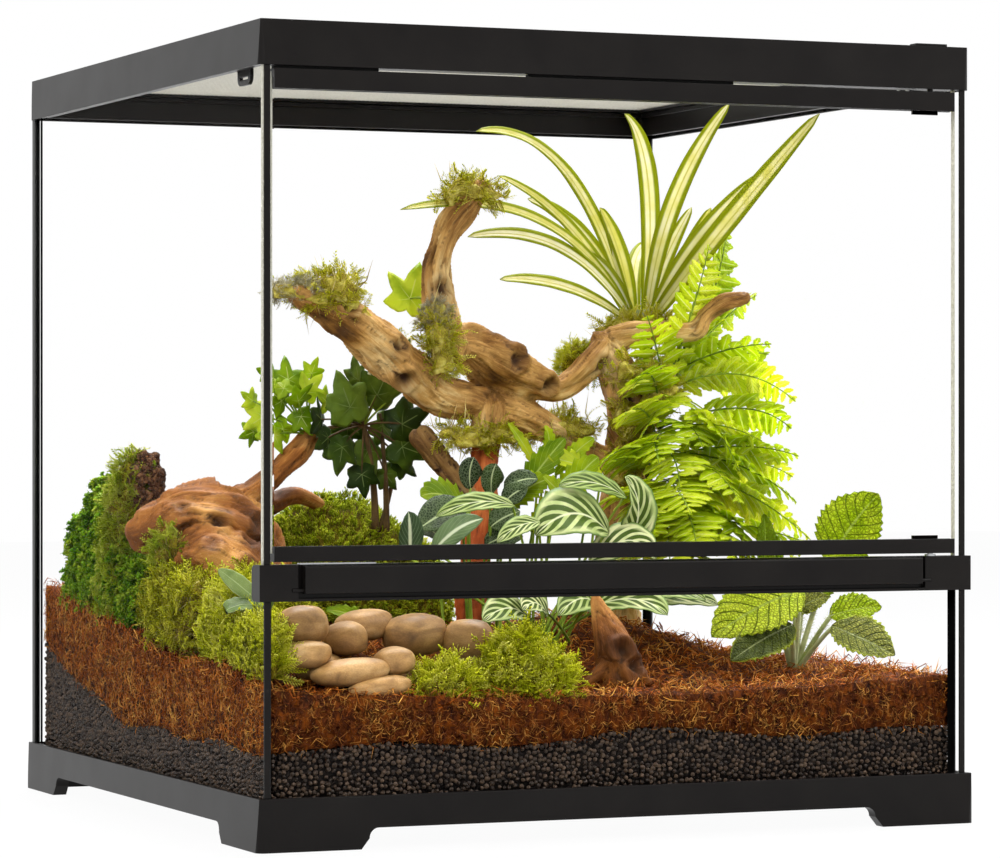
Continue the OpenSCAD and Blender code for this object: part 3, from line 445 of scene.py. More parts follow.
def sprig(length, pairs, leafLength, leafWidth, curl, rng, spread=1.0, flat=False, stemmed=True):
    # a moss stem that bows over, set with thin leaves, each a closed wedge; a flat one is a feather
    verts, faces, tips = [], [], []

    def stem(t):
        return Vector((curl * t * t, 0, length * t * (1 - 0.2 * t)))

    if stemmed:
        thick = leafWidth * 0.25
        for t in (0.0, 0.55, 1.0):
            for k in range(3):
                a = 2 * math.pi * k / 3
                verts.append(stem(t) + Vector((math.cos(a), math.sin(a), 0)) * thick * (1.15 - t))
                tips.append(t * 0.6)
        faces = tubeFaces(3, 3)
    for i in range(pairs):
        t = 0.15 + 0.85 * (i + 1) / pairs
        a = (math.pi / 2 + math.pi * i if flat else i * 2.4) + rng.uniform(-0.35, 0.35)
        out = Vector((math.cos(a) * spread + 0.5 * t, math.sin(a) * spread, 0.6 + 0.5 * t)).normalized()
        side = out.cross(Vector((1, 0.1, 0.2) if flat else (0.3, 0.2, 1))).normalized() * leafWidth / 2
        start, long = stem(t), leafLength * (1.15 - 0.6 * t) * rng.uniform(0.8, 1.2)
        middle = start + out * long * 0.45
        wedge = [start, middle + side, start + out * long, middle - side + Vector((0, 0, leafWidth * 0.3))]
        addForm(verts, faces, wedge, [(0, 1, 2), (0, 2, 3), (0, 3, 1), (1, 3, 2)])
        tips += [t * 0.6, t * 0.7, 0.35 + t * 0.65, t * 0.8]
    return verts, faces, tips


def heldInside(piece):  # soft strands and leaves press flat against the panes and don't pass them
    movePoints(piece.data, np.clip(pointsOf(piece.data), case["low"], case["high"]))
    return piece


case = {  # the room between the panes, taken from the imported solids
    "low": Vector((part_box("coir_bed")[0].x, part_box("coir_bed")[0].y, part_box("bottom_glass")[1].z)),
    "high": Vector((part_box("coir_bed")[1].x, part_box("coir_bed")[1].y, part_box("lid_mesh")[0].z - 5 * mm)),
}


def clamp01(t):
    return max(0.0, min(1.0, t))


def hump(x, y, cx, cy, rx, ry):
    return math.exp(-((x - cx) / rx) ** 2 - ((y - cy) / ry) ** 2)


def leftShare(x):
    return clamp01((-x - 20) / 190)


def wave(degrees):
    return math.sin(math.radians(degrees))


def pelletZ(x, y):  # the top of the pellets in millimetres, as in the solids
    return (59 + 3 * wave(x * 2.1 + 40) + 2 * wave(x + y * 3)
            + 41 * clamp01((y - 45) / 180) ** 1.15 * leftShare(x))


def coirZ(x, y):  # the top of the coir in millimetres, as in the solids
    return (83.5 + 9 * (x / 235) ** 2 + 1.6 * wave(x * 4.1) * wave(y * 3.3)
            + 46 * clamp01((y + 110) / 335) ** 1.1 * leftShare(x)
            + 40 * hump(x, y, 50, -30, 95, 85) + 45 * hump(x, y, -60, 110, 100, 75)
            + 30 * hump(x, y, -165, -125, 60, 50)
            - 12 * clamp01((y + 60) / 285) * clamp01((x - 120) / 100))


def noiseAt(x, y, z):
    return noise.noise(Vector((x, y, z)))


def roughly(x, y, size, depth):
    return depth * noiseAt(x / size, y / size, 3.1)


def wallSheet(name, sides, low, high, inset, columns, rows):
    # the upright faces of a layer of ground, or its top, as sheets to strew over
    x0, x1 = case["low"].x / mm + inset, case["high"].x / mm - inset
    y0, y1 = case["low"].y / mm + inset, case["high"].y / mm - inset
    verts, faces = [], []
    ends = {"front": ((x0, y0), (x1, y0)), "right": ((x1, y0), (x1, y1)),
            "back": ((x1, y1), (x0, y1)), "left": ((x0, y1), (x0, y0))}
    for side in sides:
        first = len(verts)
        for i in range(columns + 1):
            for j in range(rows + 1):
                if side == "top":
                    x = x0 + (x1 - x0) * i / columns
                    y = y0 + (y1 - y0) * j / rows
                    verts.append((x * mm, y * mm, high(x, y) * mm))
                else:
                    (ax, ay), (bx, by) = ends[side]
                    x = ax + (bx - ax) * i / columns
                    y = ay + (by - ay) * i / columns
                    z = low(x, y) + (high(x, y) - low(x, y)) * j / rows
                    verts.append((x * mm, y * mm, z * mm))
        for i in range(columns):
            for j in range(rows):
                a = first + i * (rows + 1) + j
                faces.append((a, a + rows + 1, a + rows + 2, a + 1))
    return meshObject(name, verts, faces, {"grow": [1.0] * len(verts)})


def groundBody(name, low, high, inset, steps, material):  # the closed core of a layer
    x0, x1 = case["low"].x / mm + inset, case["high"].x / mm - inset
    y0, y1 = case["low"].y / mm + inset, case["high"].y / mm - inset
    count = steps + 1
    verts = []
    for level in (high, low):
        for j in range(count):
            for i in range(count):
                x = x0 + (x1 - x0) * i / steps
                y = y0 + (y1 - y0) * j / steps
                verts.append((x * mm, y * mm, level(x, y) * mm))
    faces = []
    below = count * count
    for j in range(steps):
        for i in range(steps):
            a = j * count + i
            faces.append((a, a + 1, a + count + 1, a + count))
            faces.append((below + a, below + a + count, below + a + count + 1, below + a + 1))
    for i in range(steps):
        for a, b in ((i, i + 1), (steps * count + i + 1, steps * count + i),
                     ((i + 1) * count, i * count), (i * count + steps, (i + 1) * count + steps)):
            faces.append((a, below + a, below + b, b))
    return meshObject(name, verts, faces, material=material)


def clayPellet(rng):  # a lumpy little ball of twenty faces
    g = (1 + 5 ** 0.5) / 2
    corners = [(-1, g, 0), (1, g, 0), (-1, -g, 0), (1, -g, 0), (0, -1, g), (0, 1, g),
               (0, -1, -g), (0, 1, -g), (g, 0, -1), (g, 0, 1), (-g, 0, -1), (-g, 0, 1)]
    faces = [(0, 11, 5), (0, 5, 1), (0, 1, 7), (0, 7, 10), (0, 10, 11), (1, 5, 9), (5, 11, 4),
             (11, 10, 2), (10, 7, 6), (7, 1, 8), (3, 9, 4), (3, 4, 2), (3, 2, 6), (3, 6, 8),
             (3, 8, 9), (4, 9, 5), (2, 4, 11), (6, 2, 10), (8, 6, 7), (9, 8, 1)]
    radius = clay["pelletMm"] / 2 * mm
    verts = [Vector(c).normalized() * radius * rng.uniform(0.88, 1.1) for c in corners]
    return verts, faces, [0.5] * len(verts)


clay = {  # front: seen through the front and left panes; rear: through the other two
    "pelletMm": 3.3,
    "inset": 0.55,  # of a pellet, from the panes
    "floorMm": 1.9,  # the lowest pellets' centres, over the bottom pane
    "coreDownMm": 1.6,  # from there to the core's foot
    "sinkMm": 0.4,  # the core's top, under the surface line
    "coreSteps": 60, "sheet": (120, 4),
    "front": {"perSquareM": 700000, "spacingMm": 2.4, "seed": 3, "size": (0.8, 1.12), "lean": (0, 90),
              "upward": 0.0},
    "rear": {"perSquareM": 400000, "spacingMm": 2.7, "seed": 4, "size": (0.85, 1.15), "lean": (0, 90),
             "upward": 0.0},
}
coir = {
    "insetMm": {"bed": 1.6, "top": 1.5, "wall": 1.3},  # from the panes
    "steps": 100, "sheet": (120, 6),
    "sinkMm": 0.5, "riseMm": 0.6,  # its top under the surface line, its foot over the pellets
    "front": {"perSquareM": 300000, "seed": 5, "size": (0.5, 1.4), "lean": (74, 104), "upward": 0.0},
    "left": {"perSquareM": 280000, "seed": 15, "size": (0.5, 1.3), "lean": (74, 104), "upward": 0.0},
    "rear": {"perSquareM": 150000, "seed": 6, "size": (0.7, 1.6), "lean": (74, 104), "upward": 0.0},
    "top": {"perSquareM": 54000, "seed": 8, "size": (0.8, 1.9), "lean": (48, 108), "upward": 0.0},
    "fibreMm": (12, 0.27, 3.6),  # length, half thickness, bow
}


def toned(name, stops, tipStops, rough, bumpMm, patchMm, light=0.0, shine=0.12):
    # strewn things: each has its own tone, and its colour runs from root to tip
    material, tree, shader = startMaterial(name, shine=shine, Roughness=rough)
    place = addNode(tree, "ShaderNodeTexCoord").outputs["Object"]
    tone = addNode(tree, "ShaderNodeAttribute", {"attribute_name": "tone"})
    tip = addNode(tree, "ShaderNodeAttribute", {"attribute_name": "tip"})
    patch = addNode(tree, "ShaderNodeTexNoise", inputs={
        "Vector": place, "Scale": 1 / (patchMm * mm), "Detail": 2}).outputs["Fac"]
    level = addNode(tree, "ShaderNodeMath", {"operation": "MULTIPLY_ADD"}, {0: patch, 1: 0.8, 2: -0.15})
    level = addNode(tree, "ShaderNodeMath", {"operation": "MULTIPLY_ADD"}, {
        0: tone.outputs["Fac"], 1: 0.5, 2: level.outputs[0]}).outputs[0]
    rootColour = addNode(tree, "ShaderNodeValToRGB", {"stops": stops}, {"Fac": level})
    tipColour = addNode(tree, "ShaderNodeValToRGB", {"stops": tipStops}, {"Fac": level})
    colour = addNode(tree, "ShaderNodeMix", {"data_type": "RGBA"}, {
        "Factor": tip.outputs["Fac"], 6: rootColour.outputs["Color"],
        7: tipColour.outputs["Color"]}).outputs[2]
    relief = addNode(tree, "ShaderNodeBump", inputs={"Height": patch, "Distance": bumpMm * mm})
    tree.links.new(colour, shader.inputs["Base Color"])
    tree.links.new(relief.outputs["Normal"], shader.inputs["Normal"])
    if light:
        letThrough(tree, shader, colour, light)
    return material


def buildClay(rng):
    # small fired-clay balls: matt, warm black, no two quite alike
    tones = [(0.2, "#1a120c"), (0.5, "#30241a"), (0.8, "#503f30")]
    finish = toned("firedClay", tones, tones, 0.5, 0.12, 1.6, shine=0.25)
    # the near-black core seen in the gaps between the pellets: painted shade
    dustAndShade = mottled("clayGapShade", [(0.35, "#060404"), (0.65, "#15100d")], 3.2, 1.2, (0.85, 0.95), shine=0.1)
    pellets = thingSet("pelletForm", [clayPellet(rng) for _ in range(5)])
    inset = clay["pelletMm"] * clay["inset"]
    floorZ = case["low"].z / mm + clay["floorMm"]

    def high(x, y):
        return pelletZ(x, y) - clay["sinkMm"]

    core = groundBody("clayPellets", lambda x, y: floorZ - clay["coreDownMm"], high, inset,
                      clay["coreSteps"], dustAndShade)
    made = {}
    for label, sides, piece in (("front", ("front", "left"), "clayPellets"),
                                ("rear", ("back", "right"), "clayPelletsRear")):
        sheet = wallSheet("sheet", sides, lambda x, y: floorZ, high, inset, *clay["sheet"])
        balls = strew(sheet, clay[label], pellets, finish)
        bpy.data.objects.remove(sheet)
        made[piece] = joined(piece, [core, balls] if label == "front" else [balls])
    for piece in made.values():
        seat(heldInside(piece))
    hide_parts("drainage_pellets")


def buildCoir(rng):
    # coconut fibre: thin red-brown hairs over darker pith; against the front pane the hairs take a darker copy
    # of their finish, painted shade
    dry = toned("coirFibre", [(0.12, "#441a03"), (0.35, "#843c06"), (0.6, "#b8600c"), (0.9, "#e2a440")],
                [(0.12, "#5a2804"), (0.45, "#a8560c"), (0.9, "#ecbc60")], 0.7, 0.1, 24)
    # the darker copy of the hairs for the front wall: painted shade
    stainAndShade = toned("shadedCoirFibre",
                 [(0.12, "#240c02"), (0.35, "#4e1f05"), (0.62, "#80400c"), (0.9, "#cc8c34")],
                 [(0.12, "#321303"), (0.45, "#6e3408"), (0.9, "#d8a450")], 0.65, 0.1, 30)
    pith = mottled("coirPith", [(0.3, "#1a0902"), (0.48, "#421c04"), (0.7, "#743a08")], 4.5, 2.0,
                   (0.85, 0.95), stretch=(1, 1, 2), shine=0.08)
    length, half, bow = coir["fibreMm"]
    hairs = thingSet("coirHair", [
        fibre(length * k * mm, half * mm, bow * mm, rng) for k in (0.6, 0.8, 1.0, 1.25, 1.6, 0.9)])

    def high(x, y):
        return coirZ(x, y) + roughly(x, y, 14, 2.2) + roughly(x, y, 5, 1.0) - coir["sinkMm"]

    def low(x, y):
        return pelletZ(x, y) + coir["riseMm"] + roughly(x, y, 9, 1.2)

    inset, steps = coir["insetMm"], coir["steps"]
    bed = groundBody("coirBed", low, high, inset["bed"], steps, pith)
    top = wallSheet("sheet", ("top",), low, high, inset["top"], steps, steps)
    hair = strew(top, coir["top"], hairs, dry)
    bpy.data.objects.remove(top)
    seat(heldInside(joined("coirBed", [bed, hair])), stands=["coir_bed"])
    for label, sides, finish in (("front", ("front",), stainAndShade), ("left", ("left",), dry),
                                 ("rear", ("back", "right"), dry)):
        sheet = wallSheet("sheet", sides, low, high, inset["wall"], *coir["sheet"])
        hair = strew(sheet, coir[label], hairs, finish)
        bpy.data.objects.remove(sheet)
        seat(heldInside(joined("coirWall" + label.capitalize(), [hair])))


def buildGround():
    rng = random.Random(11)
    buildClay(rng)
    buildCoir(rng)


buildGround()
print("ground laid")


root = {
    "limbs": [  # x, y, z, radius in millimetres
        [(-140, -38, 328, 7), (-124, -34, 324, 10), (-105, -28, 316, 13), (-79, -20, 300, 15),
         (-54, -10, 282, 16), (-30, 0, 268, 14), (0, 6, 260, 11.5), (30, 10, 254, 11),
         (65, 15, 240, 10), (98, 20, 224, 8)],
        [(-22, -8, 296, 12), (-30, -10, 322, 10.5), (-34, -10, 345, 10), (-25, -10, 372, 9.5),
         (-10, -10, 390, 9), (-2, -10, 400, 7)],
        [(-28, -6, 300, 11), (-8, 0, 298, 14), (15, 5, 287, 17), (40, 8, 277, 14),
         (58, 10, 270, 9), (72, 10, 276, 9), (88, 10, 292, 9), (98, 12, 302, 9)],
        [(94, 12, 304, 8), (104, 10, 286, 13), (112, 12, 262, 14), (112, 14, 220, 13),
         (106, 12, 170, 15), (100, 8, 118, 18), (98, 6, 100, 18)],
        [(92, 14, 302, 7), (112, 8, 307, 8.5), (135, 0, 308, 7.5), (152, -8, 309, 8),
         (158, -12, 319, 6.5), (170, -16, 328, 6.5), (184, -20, 331, 5)],
        [(10, 2, 256, 11), (4, -4, 228, 9), (0, -10, 205, 9), (-6, -16, 175, 10),
         (-12, -22, 145, 11), (-16, -26, 100, 13)],
        [(-40, 0, 240, 8), (-30, -4, 225, 7.5), (-8, -10, 196, 7)],
    ],
    "knots": [(-104, -40, 322), (-66, -34, 296), (-33, -19, 334), (-24, -28, 264),
              (22, -10, 288), (50, -4, 272), (90, -2, 286), (-60, -24, 276), (108, -2, 262)],
    "red": [5],  # the leg that the damp has stained, up to a height
    "redBelow": 240,
    # the stub behind the leg is painted darker all over: painted shade
    "shadedLimbs": [6],  # the dark stub behind the leg
    "voxelMm": 1.5, "seed": 2,
    "rough": 1.0,  # how deep its marks are cut
}
log = {
    "limbs": [
        [(-214, 44, 176, 12), (-198, 40, 182, 24), (-178, 34, 182, 28), (-158, 28, 177, 26),
         (-144, 22, 168, 19), (-132, 18, 158, 10)],
        [(-200, 14, 158, 14), (-184, 10, 160, 23), (-166, 4, 152, 23), (-150, -4, 138, 19),
         (-140, -10, 118, 14)],
        [(-184, 28, 170, 24), (-182, 26, 136, 24), (-180, 24, 106, 20)],
        [(-164, 34, 192, 12), (-140, 42, 204, 9), (-118, 50, 218, 8), (-104, 56, 230, 8),
         (-94, 60, 239, 7)],
        [(-150, 44, 186, 9), (-122, 64, 194, 7), (-98, 76, 201, 6), (-72, 84, 190, 4)],
    ],
    "knots": [(-198, 12, 196), (-176, 4, 184), (-160, -4, 170), (-186, -14, 172),
              (-166, -20, 156), (-150, 8, 182), (-204, -8, 160)],
    "red": [], "shadedLimbs": [], "voxelMm": 1.5, "seed": 5, "rough": 0.8,
}
chip = {
    "limbs": [
        [(16, -150, 139, 4), (20, -154, 126, 8), (24, -160, 110, 12), (26, -164, 92, 14),
         (26, -166, 80, 13)],
    ] + [
        [(24, -164, 104, 6), (24 + (16 + 7 * wave(k * 97)) * math.cos(math.radians(k * 40)),
                              -164 + (13 + 5 * wave(k * 61)) * wave(k * 40), 88, 3)]
        for k in range(9)
    ],
    "knots": [(24, -173, 108), (30, -174, 98)],
    "red": [], "shadedLimbs": [], "voxelMm": 0.9, "seed": 8, "rough": 0.5,
}


carving = {  # how far each mark moves the surface: shares of the limb's radius, then millimetres
    "lump": 0.3, "knob": 0.2,
    "groove": 1.3, "split": 1.4, "pit": 4.5, "hair": 0.3, "knotRing": 2.6, "knotHole": 4.2,
    "grooveWide": 0.26, "splitWide": 0.05,
    "perPoint": 10, "sides": 14,  # of the tubes, before they are fused
}


def onLimb(points, i, t):  # a smooth curve through the limb's points
    a, b, c, d = (np.array(points[max(0, min(len(points) - 1, i + k))], float) for k in (-1, 0, 1, 2))
    square = (2 * a - 5 * b + 4 * c - d) * t ** 2
    cube = (3 * b - a - 3 * c + d) * t ** 3
    return 0.5 * (2 * b + (c - a) * t + square + cube)


def limbRings(points, per, sides):
    # sample points along a limb with a frame that turns with it, and the tube round them
    samples = [onLimb(points, i, k / per) for i in range(len(points) - 1) for k in range(per)]
    samples.append(np.array(points[-1], float))
    samples = np.array(samples)
    ways = np.gradient(samples[:, :3], axis=0)
    ways /= np.linalg.norm(ways, axis=1)[:, None]
    side = np.cross(ways[0], (0.3, 0.9, 0.1))
    frames = []
    for way in ways:
        side = side - way * side.dot(way)
        side /= np.linalg.norm(side)
        frames.append((side.copy(), np.cross(way, side)))
    count = len(samples)
    caps = [(-0.75, 0.45), (-0.45, 0.8)]  # rings past an end: how far, and how wide, in radii
    rings = [(0, back, share) for back, share in caps] + [(i, 0, 1) for i in range(count)]
    rings += [(count - 1, -back, share) for back, share in reversed(caps)]
    verts = []
    for i, back, share in rings:
        u, v = frames[i]
        centre = samples[i, :3] + ways[i] * samples[i, 3] * back
        for k in range(sides):
            a = 2 * math.pi * k / sides
            verts.append(centre + samples[i, 3] * share * (u * math.cos(a) + v * math.sin(a)))
    return samples, frames, verts, tubeFaces(len(rings), sides)


def fusedLimbs(name, settings):
    # the limbs as one skin, and for each sample point along them what the carving needs
    verts, faces = [], []
    spine = {label: [] for label in ("centre", "radius", "side", "up", "along", "red", "shadedLimbs")}
    for index, points in enumerate(settings["limbs"]):
        samples, frames, limbVerts, limbFaces = limbRings(points, carving["perPoint"], carving["sides"])
        addForm(verts, faces, [v * mm for v in limbVerts], limbFaces)
        steps = np.linalg.norm(np.diff(samples[:, :3], axis=0), axis=1)
        run = np.concatenate([[0], np.cumsum(steps)])
        for sample, (side, up), u in zip(samples, frames, run):
            spine["centre"].append(sample[:3])
            spine["radius"].append(sample[3])
            spine["side"].append(side)
            spine["up"].append(up)
            spine["along"].append(u + 400 * index)  # far apart, so no two limbs share a grain
            stained = index in settings["red"] and sample[2] < settings["redBelow"]
            spine["red"].append(1.0 if stained else 0.0)
            # a shaded limb is darker along its whole length: painted shade
            spine["shadedLimbs"].append(0.6 if index in settings["shadedLimbs"] else 0.0)
    made = meshObject(name, verts, faces)
    blend = made.modifiers.new("fuse", "REMESH")
    blend.mode = "VOXEL"
    blend.voxel_size = settings["voxelMm"] * mm
    soft = made.modifiers.new("soften", "SMOOTH")
    soft.factor = 0.5
    soft.iterations = 5
    plainMesh(made)
    return made, {label: np.array(values) for label, values in spine.items()}


def nearestSample(spots, spine, batch=4000):  # thick limbs reach further than thin ones
    nearest = np.zeros(len(spots), int)
    for start in range(0, len(spots), batch):
        part = spots[start:start + batch]
        gap = ((part[:, None, :] - spine["centre"][None]) ** 2).sum(2) / spine["radius"][None] ** 1.2
        nearest[start:start + batch] = gap.argmin(1)
    return nearest


def driftwood(name, settings, material, stands):
    made, spine = fusedLimbs(name, settings)
    data = made.data
    spots = pointsOf(data) / mm
    normals = pointsOf(data, "normal")
    nearest = nearestSample(spots, spine)
    away = spots - spine["centre"][nearest]
    across = (away * spine["side"][nearest]).sum(1)
    upward = (away * spine["up"][nearest]).sum(1)
    along = spine["along"][nearest]
    knots = np.array(settings["knots"], float)
    knotGap = np.sqrt(((spots[:, None, :] - knots[None]) ** 2).sum(2)).min(1)
    seed = settings["seed"]
    push = np.zeros(len(spots))
    dark = np.zeros(len(spots))
    for i, (u, a, b) in enumerate(zip(along, across, upward)):
        swirl = 5 * noiseAt(u * 0.022, a * 0.05, b * 0.05 + seed * 2)
        a, b = a + swirl, b - swirl * 0.6
        radius = spine["radius"][nearest[i]]
        lump = noiseAt(u * 0.024 + seed, a * 0.07, b * 0.07)
        knob = noiseAt(u * 0.06 + seed * 3, a * 0.12, b * 0.12)
        groove = abs(noiseAt(u * 0.016 + 9, a * 0.15 + seed, b * 0.15))
        groove = (1 - min(1, groove / carving["grooveWide"])) ** 2
        split = abs(noiseAt(u * 0.012 + 31, a * 0.13, b * 0.13 + seed))
        split = 1 - min(1, split / carving["splitWide"])
        pit = max(0, noiseAt(u * 0.04 + 51, a * 0.11 + seed, b * 0.11) - 0.45) * 4
        hair = noiseAt(u * 0.12, a * 1.1, b * 1.1 + seed)
        depth = radius * (carving["lump"] * lump + carving["knob"] * knob)
        depth = depth - carving["groove"] * groove - carving["split"] * split - carving["pit"] * pit
        push[i] = settings["rough"] * depth + carving["hair"] * hair
        # grooves, splits and pits darkened: painted shade in the hollows
        dark[i] = 0.25 * groove + 0.65 * split + 0.5 * pit
    ring = np.exp(-((knotGap - 7.5) / 3) ** 2)  # a raised lip round each knot hole
    hole = np.exp(-(knotGap / 4.8) ** 2)
    push += carving["knotRing"] * ring - carving["knotHole"] * hole
    # knot holes and their lips darkened too: painted shade
    dark = np.clip(dark + hole * 1.1 + ring * 0.15 + spine["shadedLimbs"][nearest], 0, 1)
    movePoints(data, (spots + normals * push[:, None]) * mm)
    store(data, "grain", np.stack([along, across, upward], 1) * mm)
    store(data, "crack", dark)
    store(data, "stain", spine["red"][nearest])
    data.materials.append(material)
    data.polygons.foreach_set("use_smooth", [True] * len(data.polygons))
    data.update()
    return seat(made, stands=stands)


def woodFinish(name, stops, stain):
    # weathered driftwood: hard silky grain, with painted shade in its grooves, splits, pits and knot holes
    material, tree, shader = startMaterial(name, shine=0.2)
    place = addNode(tree, "ShaderNodeTexCoord").outputs["Object"]
    grain = addNode(tree, "ShaderNodeAttribute", {"attribute_name": "grain"})
    stained = addNode(tree, "ShaderNodeAttribute", {"attribute_name": "stain"})
    woodShadeMask = addNode(tree, "ShaderNodeAttribute", {"attribute_name": "crack"})
    lines = addNode(tree, "ShaderNodeMapping", inputs={
        "Vector": grain.outputs["Vector"], "Scale": (60, 520, 520)})
    fine = addNode(tree, "ShaderNodeTexNoise", inputs={
        "Vector": lines.outputs[0], "Scale": 1.0, "Detail": 5, "Roughness": 0.65,
        "Distortion": 0.4}).outputs["Fac"]
    broad = addNode(tree, "ShaderNodeTexNoise", inputs={"Vector": place, "Scale": 24, "Detail": 4})
    level = addNode(tree, "ShaderNodeMath", {"operation": "MULTIPLY_ADD"}, {
        0: broad.outputs["Fac"], 1: 1.3, 2: -0.44})
    level = addNode(tree, "ShaderNodeMath", {"operation": "MULTIPLY_ADD"}, {
        0: fine, 1: 0.6, 2: level.outputs[0]}).outputs[0]
    dry = addNode(tree, "ShaderNodeValToRGB", {"stops": stops}, {"Fac": level})
    stainAndShade = addNode(tree, "ShaderNodeValToRGB", {"stops": stain}, {"Fac": level})
    base = addNode(tree, "ShaderNodeMix", {"data_type": "RGBA"}, {
        "Factor": stained.outputs["Fac"], 6: dry.outputs["Color"], 7: stainAndShade.outputs["Color"]})
    # the colour runs to dark brown where the painted shade is
    colour = addNode(tree, "ShaderNodeMix", {"data_type": "RGBA"}, {
        "Factor": woodShadeMask.outputs["Fac"], 6: base.outputs[2], 7: hexColor("#3c2412")})
    surfaced(tree, shader, colour.outputs[2], fine, (0.5, 0.78), fine, 0.7, 0.9)
    return material


def buildWood():
    # the stain's reds are those of damp root bark; the log's wood is oilier than the branch's
    stain = [(0.2, "#5a1e0c"), (0.5, "#a84a1c"), (0.8, "#d0793c")]
    pale = woodFinish("washedDriftwood", [(0.15, "#4c3014"), (0.36, "#8e622a"), (0.56, "#c89a56"),
                                          (0.8, "#f2d698")], stain)
    warm = woodFinish("oiledRootwood", [(0.15, "#3a1d06"), (0.38, "#6e3e12"), (0.58, "#9c622a"),
                                        (0.8, "#c8924c")], stain)
    driftwood("rootWood", root, pale, ["root_wood"])
    driftwood("sideLog", log, warm, ["side_log"])
    driftwood("rootChip", chip, warm, ["root_chip"])


buildWood()
print("wood carved")


stones = {
    "forms": [  # centre, half lengths, turn
        (-189, -183, 128, 17, 15, 12.5, 10), (-158, -174, 119, 13, 14, 11, 40),
        (-193, -196, 111, 18, 15, 9, -8), (-166, -202, 101, 26, 15, 8.5, 5),
        (-112, -168, 120, 21, 17, 14, 12), (-80, -176, 116, 17, 14, 14.5, -25),
        (-136, -196, 106, 13, 14, 9.5, 0), (-150, -208, 92, 21, 9, 7, 0),
        (-140, -158, 126, 20, 16, 10, 20), (-128, -186, 97, 20, 15, 9, 30),
        (-176, -178, 102, 18, 15, 10, 60),
    ],
    "squareness": 0.82,  # under 1 makes a pebble's shoulders fuller
    "lumps": 0.07,
}


def pebbleFinish():
    # water-worn river pebbles: tan and grey-brown bands under a faint wet gloss
    material, tree, shader = startMaterial("riverPebble", shine=0.3)
    place = addNode(tree, "ShaderNodeAttribute", {"attribute_name": "grain"}).outputs["Vector"]
    soil = addNode(tree, "ShaderNodeAttribute", {"attribute_name": "soil"})
    layers = addNode(tree, "ShaderNodeMapping", inputs={"Vector": place, "Scale": (42, 42, 62)})
    cloud = addNode(tree, "ShaderNodeTexNoise", inputs={
        "Vector": layers.outputs[0], "Scale": 1.0, "Detail": 5, "Roughness": 0.55,
        "Distortion": 0.6}).outputs["Fac"]
    bands = addNode(tree, "ShaderNodeValToRGB", {"stops": [
        (0.22, "#5c442a"), (0.4, "#987244"), (0.54, "#b88e56"), (0.7, "#cea872"), (0.86, "#7c6442")]}, {
        "Fac": cloud})
    specks = addNode(tree, "ShaderNodeTexNoise", inputs={"Vector": place, "Scale": 900, "Detail": 2})
    dustAndShade = addNode(tree, "ShaderNodeValToRGB", {"stops": [(0.4, "#7a6a58"), (0.62, "#ffffff")]}, {
        "Fac": specks.outputs["Fac"]})
    dusty = addNode(tree, "ShaderNodeMix", {"data_type": "RGBA", "blend_type": "MULTIPLY"}, {
        "Factor": 0.2, 6: bands.outputs["Color"], 7: dustAndShade.outputs["Color"]})
    # each pebble darkened towards its underside: painted shade
    shadeShare = addNode(tree, "ShaderNodeMath", {"operation": "MULTIPLY"}, {0: soil.outputs["Fac"], 1: 0.45})
    colour = addNode(tree, "ShaderNodeMix", {"data_type": "RGBA"}, {
        "Factor": shadeShare.outputs[0], 6: dusty.outputs[2], 7: hexColor("#3c2814")})
    surfaced(tree, shader, colour.outputs[2], cloud, (0.42, 0.62), cloud, 0.5, 0.6)
    return material


def buildStones():
    bpy.ops.mesh.primitive_ico_sphere_add(subdivisions=4, radius=1)
    ball = bpy.context.object
    unit = [v.co.copy() for v in ball.data.vertices]
    shell = [tuple(p.vertices) for p in ball.data.polygons]
    bpy.data.objects.remove(ball)
    verts, faces, grain, soil = [], [], [], []
    for number, (x, y, z, a, b, c, turn) in enumerate(stones["forms"]):
        angle = math.radians(turn)
        pebble = []
        for p in unit:
            full = Vector([math.copysign(abs(k) ** stones["squareness"], k) for k in p])
            full *= 1 + stones["lumps"] * noise.noise(p * 1.3 + Vector((number * 7, 0, 0)))
            full *= 0.93 + 0.02 * noise.noise(p * 3.5 + Vector((0, number * 5, 0)))
            q = Vector((full.x * a, full.y * b, full.z * c))
            pebble.append((Vector((x, y, z)) + Vector((
                q.x * math.cos(angle) - q.y * math.sin(angle) - q.z * 0.1,
                q.x * math.sin(angle) + q.y * math.cos(angle) - q.z * 0.07,
                q.z + q.x * 0.1))) * mm)
            grain.append((q.x * mm, q.y * mm, q.z * mm * 1.6 + number))
            # painted shade, more towards the pebble's underside
            soil.append(clamp01(0.35 - p.z + 0.5 * noise.noise(q / 6)))
        addForm(verts, faces, pebble, shell)
    pile = meshObject("riverStones", verts, faces, {"grain": grain, "soil": soil}, pebbleFinish())
    seat(pile, stands=["river_stones"])


buildStones()
print("stones laid")


